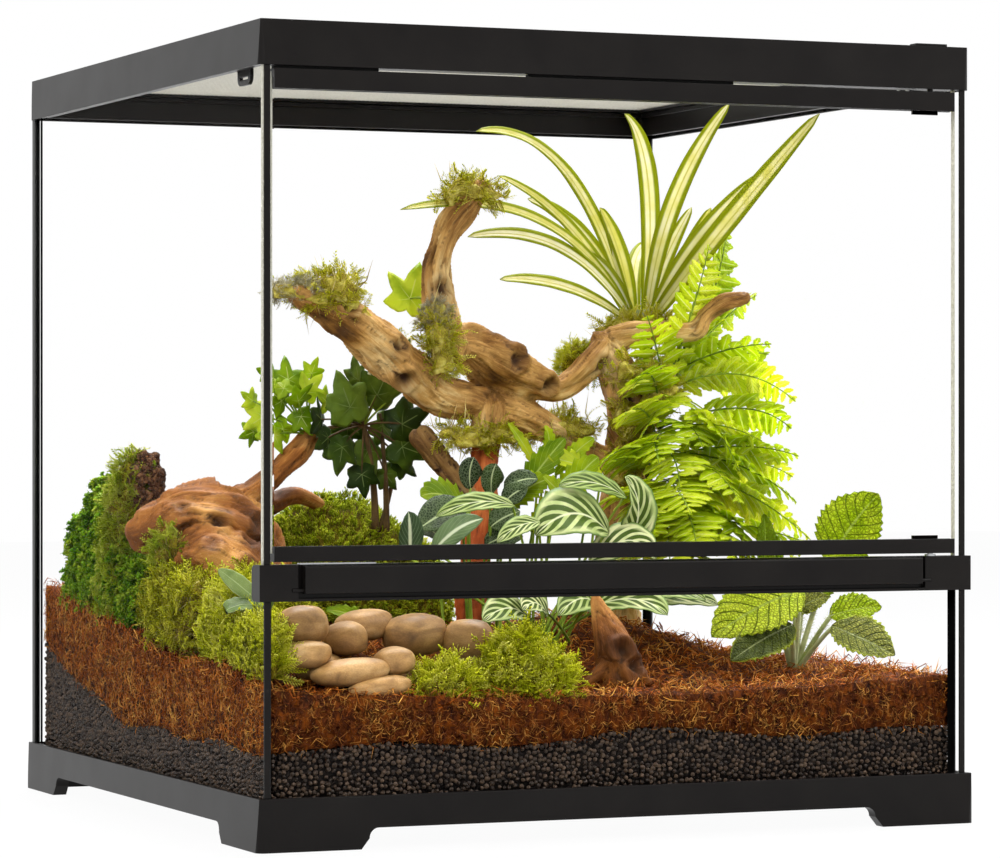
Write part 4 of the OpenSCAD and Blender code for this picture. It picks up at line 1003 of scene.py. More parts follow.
# forms: each dome's centre and half lengths; lumps: their depth and size; bare: -1 leaves nothing bare
moss = {
    "mound": {
        "forms": [(-64, 96, 122, 60, 46, 73), (-100, 92, 118, 33, 38, 58), (-24, 100, 116, 38, 42, 58)],
        "lumps": (0.12, 14), "bare": -1, "sprig": "tuft", "shade": "olive", "seed": 21,
        "perSquareM": 200000, "size": (0.8, 1.5), "lean": (0, 50), "upward": 0.35, "stands": ["moss_mound"],
    },
    "front": {
        "forms": [(-108, -204, 88, 20, 8, 13), (-58, -200, 88, 20, 12, 28), (-42, -204, 86, 15, 9, 20)],
        "lumps": (0.3, 11), "bare": -0.6, "sprig": "feather", "shade": "lime", "seed": 22,
        "perSquareM": 190000, "size": (0.6, 1.15), "lean": (0, 60), "upward": 0.5, "stands": [],
    },
    "side": {
        "forms": [(-212, -176, 110, 7, 30, 17), (-206, -114, 118, 13, 24, 27), (-216, -196, 104, 5, 16, 15)],
        "lumps": (0.25, 13), "bare": -0.6, "sprig": "feather", "shade": "lime", "seed": 23,
        "perSquareM": 155000, "size": (0.6, 1.2), "lean": (0, 60), "upward": 0.6, "stands": [],
    },
    "bank": {
        "forms": [(-172, -60, 120, 26, 28, 27), (-208, -50, 126, 12, 20, 24), (-206, -4, 128, 13, 22, 24),
                  (-190, -84, 118, 16, 16, 20)],
        "lumps": (0.5, 11), "bare": -0.25, "sprig": "feather", "shade": "mixed", "seed": 24,
        "perSquareM": 112000, "size": (0.65, 1.3), "lean": (10, 80), "upward": 0.35,
        "stands": ["moss_cushions"],
    },
    "curly": {
        "forms": [(-198, 168, 124, 20, 43, 70), (-174, 150, 118, 28, 36, 47), (-202, 128, 124, 17, 20, 46),
                  (-204, 98, 126, 13, 22, 36), (-202, 76, 130, 12, 18, 24)],
        "lumps": (0.35, 15), "bare": -0.7, "sprig": "curly", "shade": "deep", "seed": 25,
        "perSquareM": 130000, "size": (0.65, 1.4), "lean": (0, 70), "upward": 0.3, "stands": ["curly_moss"],
    },
    "stump": {
        "forms": [(-204, 104, 114, 18, 18, 58), (-205, 104, 150, 15, 15, 46), (-204, 102, 184, 13, 13, 32),
                  (-203, 100, 204, 10, 10, 22), (-206, 14, 164, 8, 12, 15)],
        "lumps": (0.25, 9), "bare": -0.75, "sprig": "feather", "shade": "fresh", "seed": 26,
        "perSquareM": 115000, "size": (0.45, 0.95), "lean": (20, 95), "upward": 0.1,
        "stands": ["mossy_stump"],
    },
    "perched": {
        "forms": [(-116, -36, 330, 17, 11, 10), (-102, -34, 322, 9, 8, 9), (-126, -38, 326, 9, 9, 7),
                  (-9, -12, 396, 15, 10, 7), (-22, -12, 390, 6, 7, 7), (-36, -20, 300, 8, 9, 14),
                  (-34, -22, 286, 6, 8, 12),
                  (-8, -14, 236, 12, 10, 8), (8, -14, 238, 9, 8, 6), (-22, -12, 240, 8, 7, 5),
                  (134, 26, 310, 26, 16, 6), (126, -6, 268, 13, 11, 15), (106, 0, 280, 10, 10, 8),
                  (62, 16, 242, 22, 11, 8), (-62, -12, 296, 7, 6, 4),
                  (112, -2, 244, 12, 9, 16), (106, -2, 216, 9, 8, 14)],
        "lumps": (0.7, 7), "bare": -0.25, "sprig": "feather", "shade": "gold", "seed": 27,
        "perSquareM": 125000, "size": (0.4, 0.95), "lean": (0, 95), "upward": 0.3,
        "stands": ["perched_moss"],
    },
    "grey": {  # lichen on the branch
        "forms": [(-143, -38, 329, 12, 8, 6), (-132, -38, 332, 8, 7, 5), (-36, -18, 316, 8, 7, 9)],
        "lumps": (0.6, 6), "bare": -0.3, "sprig": "feather", "shade": "grey", "seed": 29,
        "perSquareM": 420000, "size": (0.2, 0.5), "lean": (0, 95), "upward": 0.1, "stands": [],
    },
    "bright": {  # a tuft behind the fork of the wood
        "forms": [(82, 25, 286, 11, 10, 14)],
        "lumps": (0.2, 8), "bare": -1, "sprig": "feather", "shade": "lime", "seed": 28,
        "perSquareM": 330000, "size": (0.35, 0.6), "lean": (0, 60), "upward": 0.2, "stands": [],
    },
}
crown = {"forms": [(-195, 97, 204, 13, 13, 24)], "lumps": (0.3, 6), "seed": 3}  # the stump's broken top
extras = {  # what else is strewn over some clumps
    "loose": {"perSquareM": 34000, "lean": (50, 120), "size": (0.4, 1.1)},
    "twigs": {"perSquareM": 8000, "lean": (0, 35), "size": (0.8, 1.7), "upward": 0.85, "seed": 92},
    "crumbs": {"perSquareM": 520000, "lean": (0, 90), "size": (0.5, 1.2), "seed": 91},
}
hiding = {"depthMm": 2, "inside": 0.7}  # no sprig grows this deep in the ground, or so far in another dome
shades = {  # colours from dark to light: at the foot of a sprig, and at its tip
    "olive": (["#728210", "#a2b01a", "#ccd038"], ["#a8bc18", "#d4e028", "#f2f254"]),
    "lime": (["#b4bc10", "#dce020", "#f6f244"], ["#e4ec20", "#fafa40", "#fffe90"]),
    "mixed": (["#7c7410", "#bcb418", "#e4dc40"], ["#b8c414", "#e8ec28", "#fefc68"]),
    "deep": (["#264a06", "#4c7c0a", "#80a816"], ["#609a0a", "#98c418", "#d0dc40"]),
    "fresh": (["#74800e", "#b0bc20", "#dce450"], ["#a0c018", "#d4e430", "#f8fa80"]),
    "gold": (["#b8a81c", "#e4d838", "#faf070"], ["#ccd81c", "#f4f63c", "#fffe8c"]),
    "grey": (["#b8ac84", "#dcd4b0", "#f4eed8"], ["#ccc498", "#ece8c8", "#fcfae8"]),
}


def clumpMesh(forms, lumps, seed, bare=-1):  # lumpy domes with closed feet; nothing grows where it is bare
    turns, rings = 30, 14
    depth, size = lumps
    verts, faces, grow = [], [], []

    def hidden(spot):
        if spot.z < coirZ(spot.x, spot.y) - hiding["depthMm"]:
            return True
        return any(((spot.x - fx) / fa) ** 2 + ((spot.y - fy) / fb) ** 2 + ((spot.z - fz) / fc) ** 2
                   < hiding["inside"] for fx, fy, fz, fa, fb, fc in forms)

    for x, y, z, a, b, c in forms:
        first = len(verts)
        for i in range(rings):
            rise = math.radians(-28 + 118 * i / rings)
            for k in range(turns):
                turn = 2 * math.pi * k / turns
                p = Vector((math.cos(turn) * math.cos(rise), math.sin(turn) * math.cos(rise),
                            math.sin(rise)))
                spot = Vector((x + p.x * a, y + p.y * b, z + p.z * c))
                bulge = 1 + depth * noise.noise(spot / size + Vector((seed, 0, 0)))
                spot = Vector((x + p.x * a * bulge, y + p.y * b * bulge, z + p.z * c * bulge))
                verts.append(spot * mm)
                patchy = noise.noise(spot / 9 + Vector((0, seed, 0))) < bare
                grow.append(0.0 if hidden(spot) or patchy else 1.0)
        verts += [Vector((x, y, z + c)) * mm, Vector((x, y, z - 0.5 * c)) * mm]
        grow += [1.0, 0.0]
        faces += ringQuads(rings, turns, first)
        rim, top = first + (rings - 1) * turns, first + rings * turns
        for k in range(turns):
            n = (k + 1) % turns
            faces.append((rim + k, rim + n, top))
            faces.append((first + n, first + k, top + 1))
    return meshObject("clump", verts, faces, {"grow": grow})


def buildMosses():
    rng = random.Random(31)
    forms = {  # small things to strew: lengths and widths in millimetres
        "tuft": [sprig(5.5 * mm, 6, 3.4 * mm, 0.9 * mm, 1.6 * mm, rng, 0.4, stemmed=False)
                 for _ in range(4)],
        "feather": [sprig(k * mm, 15, 4.2 * mm, 1.1 * mm, k * 0.5 * mm, rng, flat=True)
                    for k in (11, 13, 15, 18)],
        "curly": [sprig(k * mm, 8, 4.4 * mm, 2.9 * mm, k * 0.3 * mm, rng) for k in (5, 6.5, 8)],
        "thread": [fibre(k * mm, 0.3 * mm, k * 0.16 * mm, rng) for k in (16, 22, 30)],
        "crumb": [clayPellet(rng) for _ in range(4)],
    }
    things = {name: thingSet(name, made) for name, made in forms.items()}
    # living moss: soft matt leaves, lighter at their tips, that let light through
    places = (0.2, 0.5, 0.8)
    finish = {}
    for shade, (foot, tip) in shades.items():
        finish[shade] = toned(shade + "Moss", list(zip(places, foot)), list(zip(places, tip)), 0.6, 0.1, 14,
                              light=0.45)
    # the peat and dead stems in the heart of a moss clump
    heart = mottled("mossPeat", [(0.3, "#3a2c06"), (0.5, "#5e520c"), (0.7, "#8c8420")], 5, 1.5, (0.8, 0.95),
                    shine=0.08)
    pale = mottled("dryMossPeat", [(0.3, "#7c6a24"), (0.5, "#b0a240"), (0.7, "#d8cf74")], 5, 1.5,
                   (0.8, 0.95), shine=0.08)
    # crumbs of rotten bark, and dead sphagnum threads
    bark = [(0.2, "#2a1a10"), (0.5, "#4b3020"), (0.8, "#7b5a3c")]
    rotten = toned("rottenBark", bark, bark, 0.85, 0.3, 2)
    straw = toned("drySphagnum", [(0.2, "#8c7a34"), (0.5, "#bcab54"), (0.8, "#e0d488")],
                  [(0.2, "#a88c40"), (0.5, "#d0bc68"), (0.8, "#f0e6a8")], 0.7, 0.1, 12, light=0.3)
    for name, settings in moss.items():
        clump = clumpMesh(settings["forms"], settings["lumps"], settings["seed"], settings["bare"])
        parts = [strew(clump, settings, things[settings["sprig"]], finish[settings["shade"]])]
        if name in ("perched", "stump", "bank"):
            loose = {**settings, **extras["loose"], "seed": settings["seed"] + 40}
            parts.append(strew(clump, loose, things["thread"], straw))
        if name == "perched":  # twigs that stand up from the clumps
            parts.append(strew(clump, {**settings, **extras["twigs"]}, things["thread"], straw))
        if name == "stump":
            top = clumpMesh(**crown)
            parts.append(strew(top, {**settings, **extras["crumbs"]}, things["crumb"], rotten))
            bpy.data.objects.remove(top)
        clump.data.materials.append(pale if name in ("perched", "grey") else heart)
        piece = joined(name + "Moss", [clump] + parts)
        seat(heldInside(piece), stands=settings["stands"])
    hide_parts("moss_cushions")


buildMosses()
print("moss grown")


def bend(points, t):  # a point and a direction on a curve of three points
    a, b, c = (Vector(p) for p in points)
    first, last = a.lerp(b, t), b.lerp(c, t)
    return first.lerp(last, t), (last - first).normalized()


def gathered(parts):  # several (verts, faces, leaf) lists as one
    verts, faces, leaf = [], [], []
    for partVerts, partFaces, partLeaf in parts:
        addForm(verts, faces, partVerts, partFaces)
        leaf += partLeaf
    return verts, faces, leaf


def blade(points, width, look, tone, up):
    # a leaf as a sheet of rows along a curve; leaf holds across, along and tone at each point
    # look: peak is where it is widest; keel, ripple and bulge lift it; teeth and tooth saw its edge
    rows, columns = look["rows"], look["columns"]
    power = math.log(0.5) / math.log(look["peak"])
    verts, faces, leaf = [], [], []
    for i in range(rows + 1):
        t = i / rows
        centre, way = bend(points, t)
        across = way.cross(Vector(up)).normalized()
        lift = across.cross(way).normalized()
        swell = max(0.0, math.sin(math.pi * t ** power)) ** look["fullness"]
        half = max(0.25, width / 2 * swell)
        tooth = 1 - look.get("tooth", 0) * (1 - (t * look.get("teeth", 1)) % 1)
        for j in range(columns + 1):
            u = 2 * j / columns - 1
            reach = half * (tooth if abs(u) > 0.99 else 1)
            rise = look["keel"] * abs(u) * half
            rise += look.get("ripple", 0) * abs(u) ** 3 * math.sin(t * 31 + tone * 9 + (2 if u > 0 else 0))
            swelling = math.sin(math.pi * ((t - 0.3 * abs(u)) * look.get("veins", 8) % 1))
            bulge = look.get("bulge", 0) * swelling * (4 * abs(u) * (1 - abs(u)))
            verts.append(centre + across * u * reach + lift * (rise + bulge))
            leaf.append((u, t, tone))
    for i in range(rows):
        for j in range(columns):
            a = i * (columns + 1) + j
            faces.append((a, a + 1, a + columns + 2, a + columns + 1))
    return verts, faces, leaf


def tube(points, thick, thin, tone, steps=8, sides=6):
    verts, leaf = [], []
    side = None
    for i in range(steps + 1):
        t = i / steps
        centre, way = bend(points, t)
        side = (side or way.cross(Vector((0.3, 0.8, 0.2)))) - way * (side or Vector()).dot(way)
        side.normalize()
        other = way.cross(side)
        radius = thick + (thin - thick) * t
        for k in range(sides):
            a = 2 * math.pi * k / sides
            verts.append(centre + radius * (side * math.cos(a) + other * math.sin(a)))
            leaf.append((0, t, tone))
    return verts, tubeFaces(steps + 1, sides), leaf


def plant(name, sheets, stems, bladeFinish, stemFinish, thickMm, stands):
    parts = []
    for made, material, thick in ((sheets, bladeFinish, thickMm), (stems, stemFinish, 0)):
        if not made:
            continue
        verts, faces, leaf = gathered(made)
        part = meshObject(name, [v * mm for v in verts], faces, {"leaf": leaf}, material)
        if thick:
            solid = part.modifiers.new("thicken", "SOLIDIFY")
            solid.thickness = thick * mm
            solid.offset = 0
            plainMesh(part)
        parts.append(part)
    return seat(heldInside(joined(name, parts)), stands=stands)


def leafFinish(name, colours, places=(0.2, 0.5, 0.8), veins=None, bands=None, middle=None, margin=None,
               cells=None, light=0.35, rough=(0.32, 0.5), reliefMm=0.25):
    # a leaf's blade: its colour and its veins follow the blade's own length and width
    material, tree, shader = startMaterial(name, shine=0.15)
    place = addNode(tree, "ShaderNodeTexCoord").outputs["Object"]
    sheet = addNode(tree, "ShaderNodeAttribute", {"attribute_name": "leaf"})
    leaf = addNode(tree, "ShaderNodeSeparateXYZ", inputs={"Vector": sheet.outputs["Vector"]}).outputs
    side = addNode(tree, "ShaderNodeMath", {"operation": "ABSOLUTE"}, {0: leaf["X"]}).outputs[0]
    cloud = addNode(tree, "ShaderNodeTexNoise", inputs={
        "Vector": place, "Scale": 90, "Detail": 3}).outputs["Fac"]
    level = addNode(tree, "ShaderNodeMath", {"operation": "MULTIPLY_ADD"}, {0: leaf["Z"], 1: 0.6, 2: cloud})
    level = addNode(tree, "ShaderNodeMath", {"operation": "SUBTRACT"}, {0: level.outputs[0], 1: 0.3})
    colour = addNode(tree, "ShaderNodeValToRGB", {"stops": list(zip(places, colours))}, {
        "Fac": level.outputs[0]}).outputs["Color"]
    height = cloud
    for stripes in (bands, veins):  # colour, how many, slant, where they fade out and where they are full
        if not stripes:
            continue
        paint, count, slant, fade, full = stripes
        back = addNode(tree, "ShaderNodeMath", {"operation": "MULTIPLY_ADD"}, {
            0: side, 1: -slant, 2: leaf["Y"]})
        wavy = addNode(tree, "ShaderNodeMath", {"operation": "MULTIPLY_ADD"}, {
            0: cloud, 1: 0.035, 2: back.outputs[0]})
        phase = addNode(tree, "ShaderNodeMath", {"operation": "MULTIPLY"}, {0: wavy.outputs[0], 1: count})
        apart = addNode(tree, "ShaderNodeMath", {"operation": "PINGPONG"}, {0: phase.outputs[0], 1: 0.5})
        share = addNode(tree, "ShaderNodeMapRange", {"interpolation_type": "SMOOTHSTEP"}, {
            "Value": apart.outputs[0], "From Min": fade, "From Max": full}).outputs["Result"]
        if stripes is bands:  # the bands die away before the margin
            inner = addNode(tree, "ShaderNodeMapRange", inputs={
                "Value": side, "From Min": 0.82, "From Max": 0.6})
            share = addNode(tree, "ShaderNodeMath", {"operation": "MULTIPLY"}, {
                0: share, 1: inner.outputs["Result"]}).outputs[0]
        colour = addNode(tree, "ShaderNodeMix", {"data_type": "RGBA"}, {
            "Factor": share, 6: colour, 7: hexColor(paint)}).outputs[2]
        if stripes is veins:
            height = addNode(tree, "ShaderNodeMath", {"operation": "SUBTRACT"}, {
                0: height, 1: share}).outputs[0]
    if cells:  # a net of small veins: colour, size and strength
        paint, cellMm, strength = cells
        net = addNode(tree, "ShaderNodeTexVoronoi", {"feature": "DISTANCE_TO_EDGE"}, {
            "Vector": place, "Scale": 1 / (cellMm * mm)}).outputs["Distance"]
        share = addNode(tree, "ShaderNodeMapRange", inputs={
            "Value": net, "From Min": 0.16, "From Max": 0.04, "To Max": strength})
        colour = addNode(tree, "ShaderNodeMix", {"data_type": "RGBA"}, {
            "Factor": share.outputs["Result"], 6: colour, 7: hexColor(paint)}).outputs[2]
        height = addNode(tree, "ShaderNodeMath", {"operation": "MULTIPLY_ADD"}, {
            0: net, 1: 2.2, 2: height}).outputs[0]
    for line in (margin, middle):  # colour, where it fades out and where it is full
        if line:
            paint, fade, full = line
            share = addNode(tree, "ShaderNodeMapRange", {"interpolation_type": "SMOOTHSTEP"}, {
                "Value": side, "From Min": fade, "From Max": full})
            colour = addNode(tree, "ShaderNodeMix", {"data_type": "RGBA"}, {
                "Factor": share.outputs["Result"], 6: colour, 7: hexColor(paint)}).outputs[2]
    surfaced(tree, shader, colour, cloud, rough, height, reliefMm)
    letThrough(tree, shader, colour, light)
    return material


# plain stalks: two greens, and the brown wood of old ivy
stemGreen = leafFinish("greenStem", ("#5f7a1e", "#9bb43c"), (0.2, 0.8), light=0.1)
stemPale = leafFinish("paleStem", ("#b3bf7a", "#dfe3b4"), (0.2, 0.8), light=0.2)
stemBrown = leafFinish("woodyStem", ("#3a2c1a", "#6d5634"), (0.2, 0.8), light=0.0, rough=(0.6, 0.8))

spider = {
    "crown": (136, 42, 312),
    "leaves": [  # middle point, tip, width
        ((94, 50, 452), (3, 10, 438), 12),
        ((90, 40, 390), (23, 20, 410), 11),
        ((70, 20, 412), (-62, -20, 384), 11),
        ((72, 10, 384), (-3, 10, 369), 13),
        ((78, 20, 346), (24, 20, 342), 12),
        ((164, 66, 430), (128, 50, 456), 14),
        ((150, 46, 400), (187, 10, 462), 13),
        ((170, 0, 372), (212, -72, 450), 16),
        ((158, 14, 372), (206, -6, 416), 14),
        ((138, 70, 362), (168, 100, 372), 11),
        ((150, 50, 350), (178, 50, 394), 11),
        ((104, 52, 386), (62, 62, 398), 14),
        ((112, 40, 356), (86, 34, 362), 14),
        ((120, 66, 360), (102, 84, 384), 14),
        ((128, 48, 362), (106, 42, 392), 13),
        ((160, 30, 350), (176, 16, 392), 12),
    ],
    "look": {"peak": 0.52, "rows": 28, "columns": 6, "keel": 0.2, "fullness": 0.42, "ripple": 0.15},
}


def buildSpiderPlant():
    rng = random.Random(41)
    crown = Vector(spider["crown"])
    # strap leaves, cream down the middle and green at both edges, with fine lines along them
    finish = leafFinish("variegatedStrapLeaf", ("#ece88e", "#f7f3c2", "#fdfae2"), (0.25, 0.5, 0.75),
                        margin=("#abb41a", 0.42, 0.62), middle=("#dad77c", 0.14, 0.0), light=0.55)
    sheets, stems = [], []
    for middle, tip, width in spider["leaves"]:
        start = crown + Vector((middle[0] - crown.x, middle[1] - crown.y, 0)).normalized() * 5
        sheets.append(blade((start, middle, tip), width, spider["look"], rng.random(), (-0.2, -0.8, 0.7)))
    for k in range(9):
        a = 2 * math.pi * k / 9
        foot = crown + Vector((3 * math.cos(a), 3 * math.sin(a), -12))
        head = crown + Vector((7 * math.cos(a), 5 * math.sin(a), 12))
        stems.append(tube((foot, foot.lerp(head, 0.5), head), 4.0, 2.5, rng.random(), 4))
    plant("spiderPlant", sheets, stems, finish, stemPale, 0.35, ["spider_plant"])


fern = {
    "fronds": [  # root, middle, tip, longest leaflet
        ((136, 6, 268), (176, 20, 330), (208, 44, 398), 26),
        ((136, 6, 268), (182, 20, 320), (214, 24, 334), 24),
        ((136, 6, 268), (184, 6, 300), (214, 6, 294), 22),
        ((136, 6, 268), (180, -20, 296), (216, -30, 262), 26),
        ((136, 6, 268), (120, -30, 262), (96, -40, 236), 24),
        ((136, 6, 268), (150, -36, 262), (158, -62, 218), 28),
        ((128, -10, 200), (182, -18, 236), (214, -30, 212), 28),
        ((128, -10, 200), (174, -34, 210), (206, -52, 180), 28),
        ((128, -10, 200), (156, -46, 196), (166, -86, 158), 28),
        ((128, -10, 200), (130, -50, 200), (112, -96, 164), 28),
        ((128, -10, 200), (100, -40, 206), (74, -86, 180), 26),
        ((128, -10, 200), (146, -40, 172), (186, -90, 142), 24),
        ((128, -10, 200), (110, -60, 176), (86, -110, 142), 24),
        ((150, 10, 262), (186, 14, 352), (196, 34, 380), 24),
        ((146, 0, 250), (196, -8, 268), (218, -20, 244), 26),
        ((130, -4, 240), (152, -30, 256), (176, -60, 236), 28),
        ((130, -4, 240), (112, -36, 250), (98, -64, 222), 26),
        ((126, -8, 224), (148, -44, 230), (150, -80, 196), 28),
        ((126, -8, 224), (176, -30, 240), (204, -58, 226), 28),
        ((124, -10, 190), (158, -60, 186), (190, -100, 170), 26),
        ((124, -10, 190), (126, -64, 188), (134, -104, 160), 26),
        ((124, -10, 190), (98, -52, 190), (70, -84, 160), 24),
        ((130, 0, 262), (110, -20, 286), (90, -46, 270), 22),
        ((128, -10, 170), (150, -56, 158), (160, -96, 136), 24),
        ((140, 6, 280), (168, -14, 300), (196, -34, 300), 24),
        ((128, -6, 210), (112, -60, 214), (108, -94, 190), 26),
        ((134, 0, 230), (176, -46, 226), (192, -78, 196), 26),
        ((120, -10, 180), (92, -56, 172), (62, -96, 146), 22),
        ((130, -8, 196), (144, -66, 178), (176, -108, 152), 24),
        ((136, 6, 268), (150, -20, 330), (162, -10, 366), 22),
        ((136, 0, 262), (124, -10, 300), (112, -20, 318), 20),
        ((126, -10, 214), (98, -30, 232), (66, -60, 222), 24),
        ((130, -8, 214), (168, -50, 214), (196, -90, 172), 26),
        ((122, -12, 240), (104, -34, 268), (78, -50, 250), 22),
        ((120, -14, 218), (92, -44, 244), (58, -62, 220), 24),
        ((118, -14, 196), (84, -52, 214), (48, -74, 192), 24),
        ((124, -12, 258), (114, -30, 290), (92, -44, 276), 20),
        ((118, -16, 186), (104, -60, 200), (84, -88, 176), 24),
        ((122, -14, 226), (120, -48, 236), (112, -70, 206), 26),
        ((124, -12, 244), (134, -40, 256), (134, -58, 232), 26),
        ((120, -14, 232), (102, -50, 244), (96, -72, 222), 24),
    ],
    "young": [  # small plants of their own, in front
        ((146, -84, 90), (158, -96, 130), (163, -98, 178), 13),
        ((150, -84, 88), (176, -98, 120), (184, -100, 168), 11),
        ((152, -86, 88), (170, -80, 130), (178, -66, 190), 12),
        ((154, -84, 88), (188, -74, 122), (199, -64, 178), 10),
    ],
    "broad": [  # large saw-edged leaflets: base, middle, tip, width
        ((196, 24, 266), (206, 26, 276), (220, 26, 300), 17),
        ((196, 24, 266), (210, 24, 268), (226, 22, 276), 16),
        ((192, 24, 264), (184, 22, 276), (180, 20, 292), 13),
    ],
    "spacing": 7.5,  # between pairs of leaflets along a frond
    "leafletWidth": 0.48,  # of its length
    "broadLook": {"peak": 0.5, "rows": 30, "columns": 6, "keel": 0.2, "fullness": 0.65, "ripple": 0.4,
                  "teeth": 8, "tooth": 0.28},
    "leaflet": {"peak": 0.4, "rows": 13, "columns": 2, "keel": 0.12, "fullness": 0.6, "teeth": 5,
                "tooth": 0.42},
}


def frond(points, longest, rng, tone):
    sheets, stems = [], [tube(points, 0.9, 0.35, tone, 12, 5)]
    run = (Vector(points[1]) - Vector(points[0])).length + (Vector(points[2]) - Vector(points[1])).length
    pairs = int(run / fern["spacing"])
    for i in range(2, pairs + 1):
        t = i / (pairs + 0.5)
        centre, way = bend(points, t)
        across = way.cross(Vector((0, 0.55, 0.85))).normalized()
        lift = across.cross(way).normalized()
        length = longest * math.sin(math.radians(28 + 150 * t)) ** 0.85
        for side in (-1, 1):
            aim = across * side + way * rng.uniform(0.3, 0.5) + lift * rng.uniform(-0.22, 0.14)
            aim.normalize()
            droop = lift * -rng.uniform(0.05, 0.22)
            tip = centre + (aim + droop) * length
            leafPoints = (centre, centre + aim * length * 0.55, tip)
            wide = max(3.0, length * fern["leafletWidth"])
            sheets.append(blade(leafPoints, wide, fern["leaflet"], tone + rng.uniform(-0.2, 0.2), lift))
    end = [bend(points, t)[0] for t in (0.93, 0.98, 1.0)]
    sheets.append(blade(end, 4, fern["leaflet"], tone, (0, 0.5, 0.9)))
    return sheets, stems


def buildFern():
    rng = random.Random(43)
    # thin bright fronds that let much of the light through
    finish = leafFinish("fernFrond", ("#bcd418", "#daea26", "#eef63e", "#fafc80"), (0.1, 0.4, 0.65, 0.9),
                        middle=("#f4f8b8", 0.14, 0.0), veins=("#c8de20", 6, 0.35, 0.12, 0.03), light=0.6)
    halves = [([], []), ([], [])]  # every other frond: sheets and stems of the two pieces
    for i, (root, middle, tip, longest) in enumerate(fern["fronds"] + fern["young"]):
        sheets, stems = frond((root, middle, tip), longest, rng, rng.uniform(0.1, 0.9))
        halves[i % 2][0].extend(sheets)
        halves[i % 2][1].extend(stems)
    for start, middle, tip, width in fern["broad"]:
        halves[0][0].append(
            blade((start, middle, tip), width, fern["broadLook"], rng.random(), (0, -0.8, 0.6)))
    plant("fernFronds", *halves[0], finish, stemGreen, 0.25, ["fern"])
    plant("fernFrondsRear", *halves[1], finish, stemGreen, 0.25, [])


prayer = {
    "foot": (18, -84, 104),
    "silver": [  # base of the blade, middle, tip, width
        ((-22, -112, 196), (-51, -118, 204), (-78, -120, 190), 14),
        ((46, -104, 178), (16, -120, 204), (-14, -126, 178), 38),
        ((62, -96, 200), (34, -108, 216), (8, -112, 208), 16),
        ((-10, -124, 186), (-28, -130, 187), (-43, -134, 174), 13),
        ((62, -98, 170), (72, -110, 196), (52, -116, 214), 26),
        ((34, -100, 160), (60, -112, 186), (72, -118, 162), 26),
        ((-16, -118, 127), (-34, -130, 140), (-56, -142, 126), 22),
        ((-2, -118, 128), (-14, -126, 142), (-26, -134, 132), 20),
        ((36, -108, 134), (18, -120, 144), (0, -130, 128), 22),
        ((30, -104, 130), (52, -134, 146), (64, -152, 128), 26),
        ((44, -96, 138), (80, -116, 152), (98, -136, 136), 24),
        ((60, -92, 134), (92, -104, 146), (116, -118, 132), 22),
    ],
    "netted": [
        ((-50, -98, 198), (-68, -104, 192), (-85, -108, 182), 24),
        ((-44, -92, 184), (-58, -98, 192), (-74, -102, 184), 20),
        ((-25, -80, 182), (-19, -86, 189), (-8, -88, 192), 18),
        ((-28, -78, 170), (-18, -84, 178), (-6, -88, 176), 18),
        ((-16, -80, 197), (-10, -84, 205), (-2, -86, 207), 15),
        ((-36, -74, 206), (-40, -78, 218), (-36, -80, 226), 16),
        ((-20, -70, 202), (-24, -76, 214), (-20, -78, 222), 16),
        ((-60, -80, 176), (-70, -88, 184), (-80, -92, 180), 18),
        ((-14, -76, 206), (-4, -82, 214), (6, -84, 212), 15),
    ],
    "plain": [
        ((-40, -82, 190), (-60, -90, 208), (-77, -92, 202), 28),
        ((-14, -70, 192), (3, -78, 210), (16, -80, 212), 24),
        ((0, -60, 196), (14, -68, 220), (30, -72, 238), 22),
        ((22, -70, 186), (34, -80, 216), (48, -84, 226), 24),
        ((44, -76, 186), (22, -86, 202), (8, -88, 214), 20),
        ((62, -60, 214), (42, -66, 222), (19, -70, 226), 22),
        ((10, -64, 178), (20, -76, 200), (30, -80, 206), 20),
        ((-118, -140, 116), (-136, -134, 134), (-152, -124, 134), 15),
    ],
    "ribbed": [
        ((-104, -141, 164), (-106, -148, 182), (-109, -152, 194), 18),
        ((-88, -138, 168), (-77, -148, 186), (-60, -152, 189), 16),
    ],
    "serrated": [
        ((22, -50, 214), (14, -46, 234), (4, -40, 248), 10),
        ((24, -52, 218), (30, -54, 236), (24, -54, 246), 12),
        ((30, -56, 214), (44, -60, 232), (56, -60, 238), 14),
    ],
    "look": {"peak": 0.48, "rows": 22, "columns": 8, "keel": 0.2, "ripple": 0.5, "fullness": 0.62},
    "small": {"peak": 0.48, "rows": 12, "columns": 6, "keel": 0.18, "ripple": 0.3, "fullness": 0.6},
    "toothed": {"peak": 0.5, "rows": 32, "columns": 6, "keel": 0.2, "ripple": 0.5, "fullness": 0.6,
                "teeth": 8, "tooth": 0.34},
}


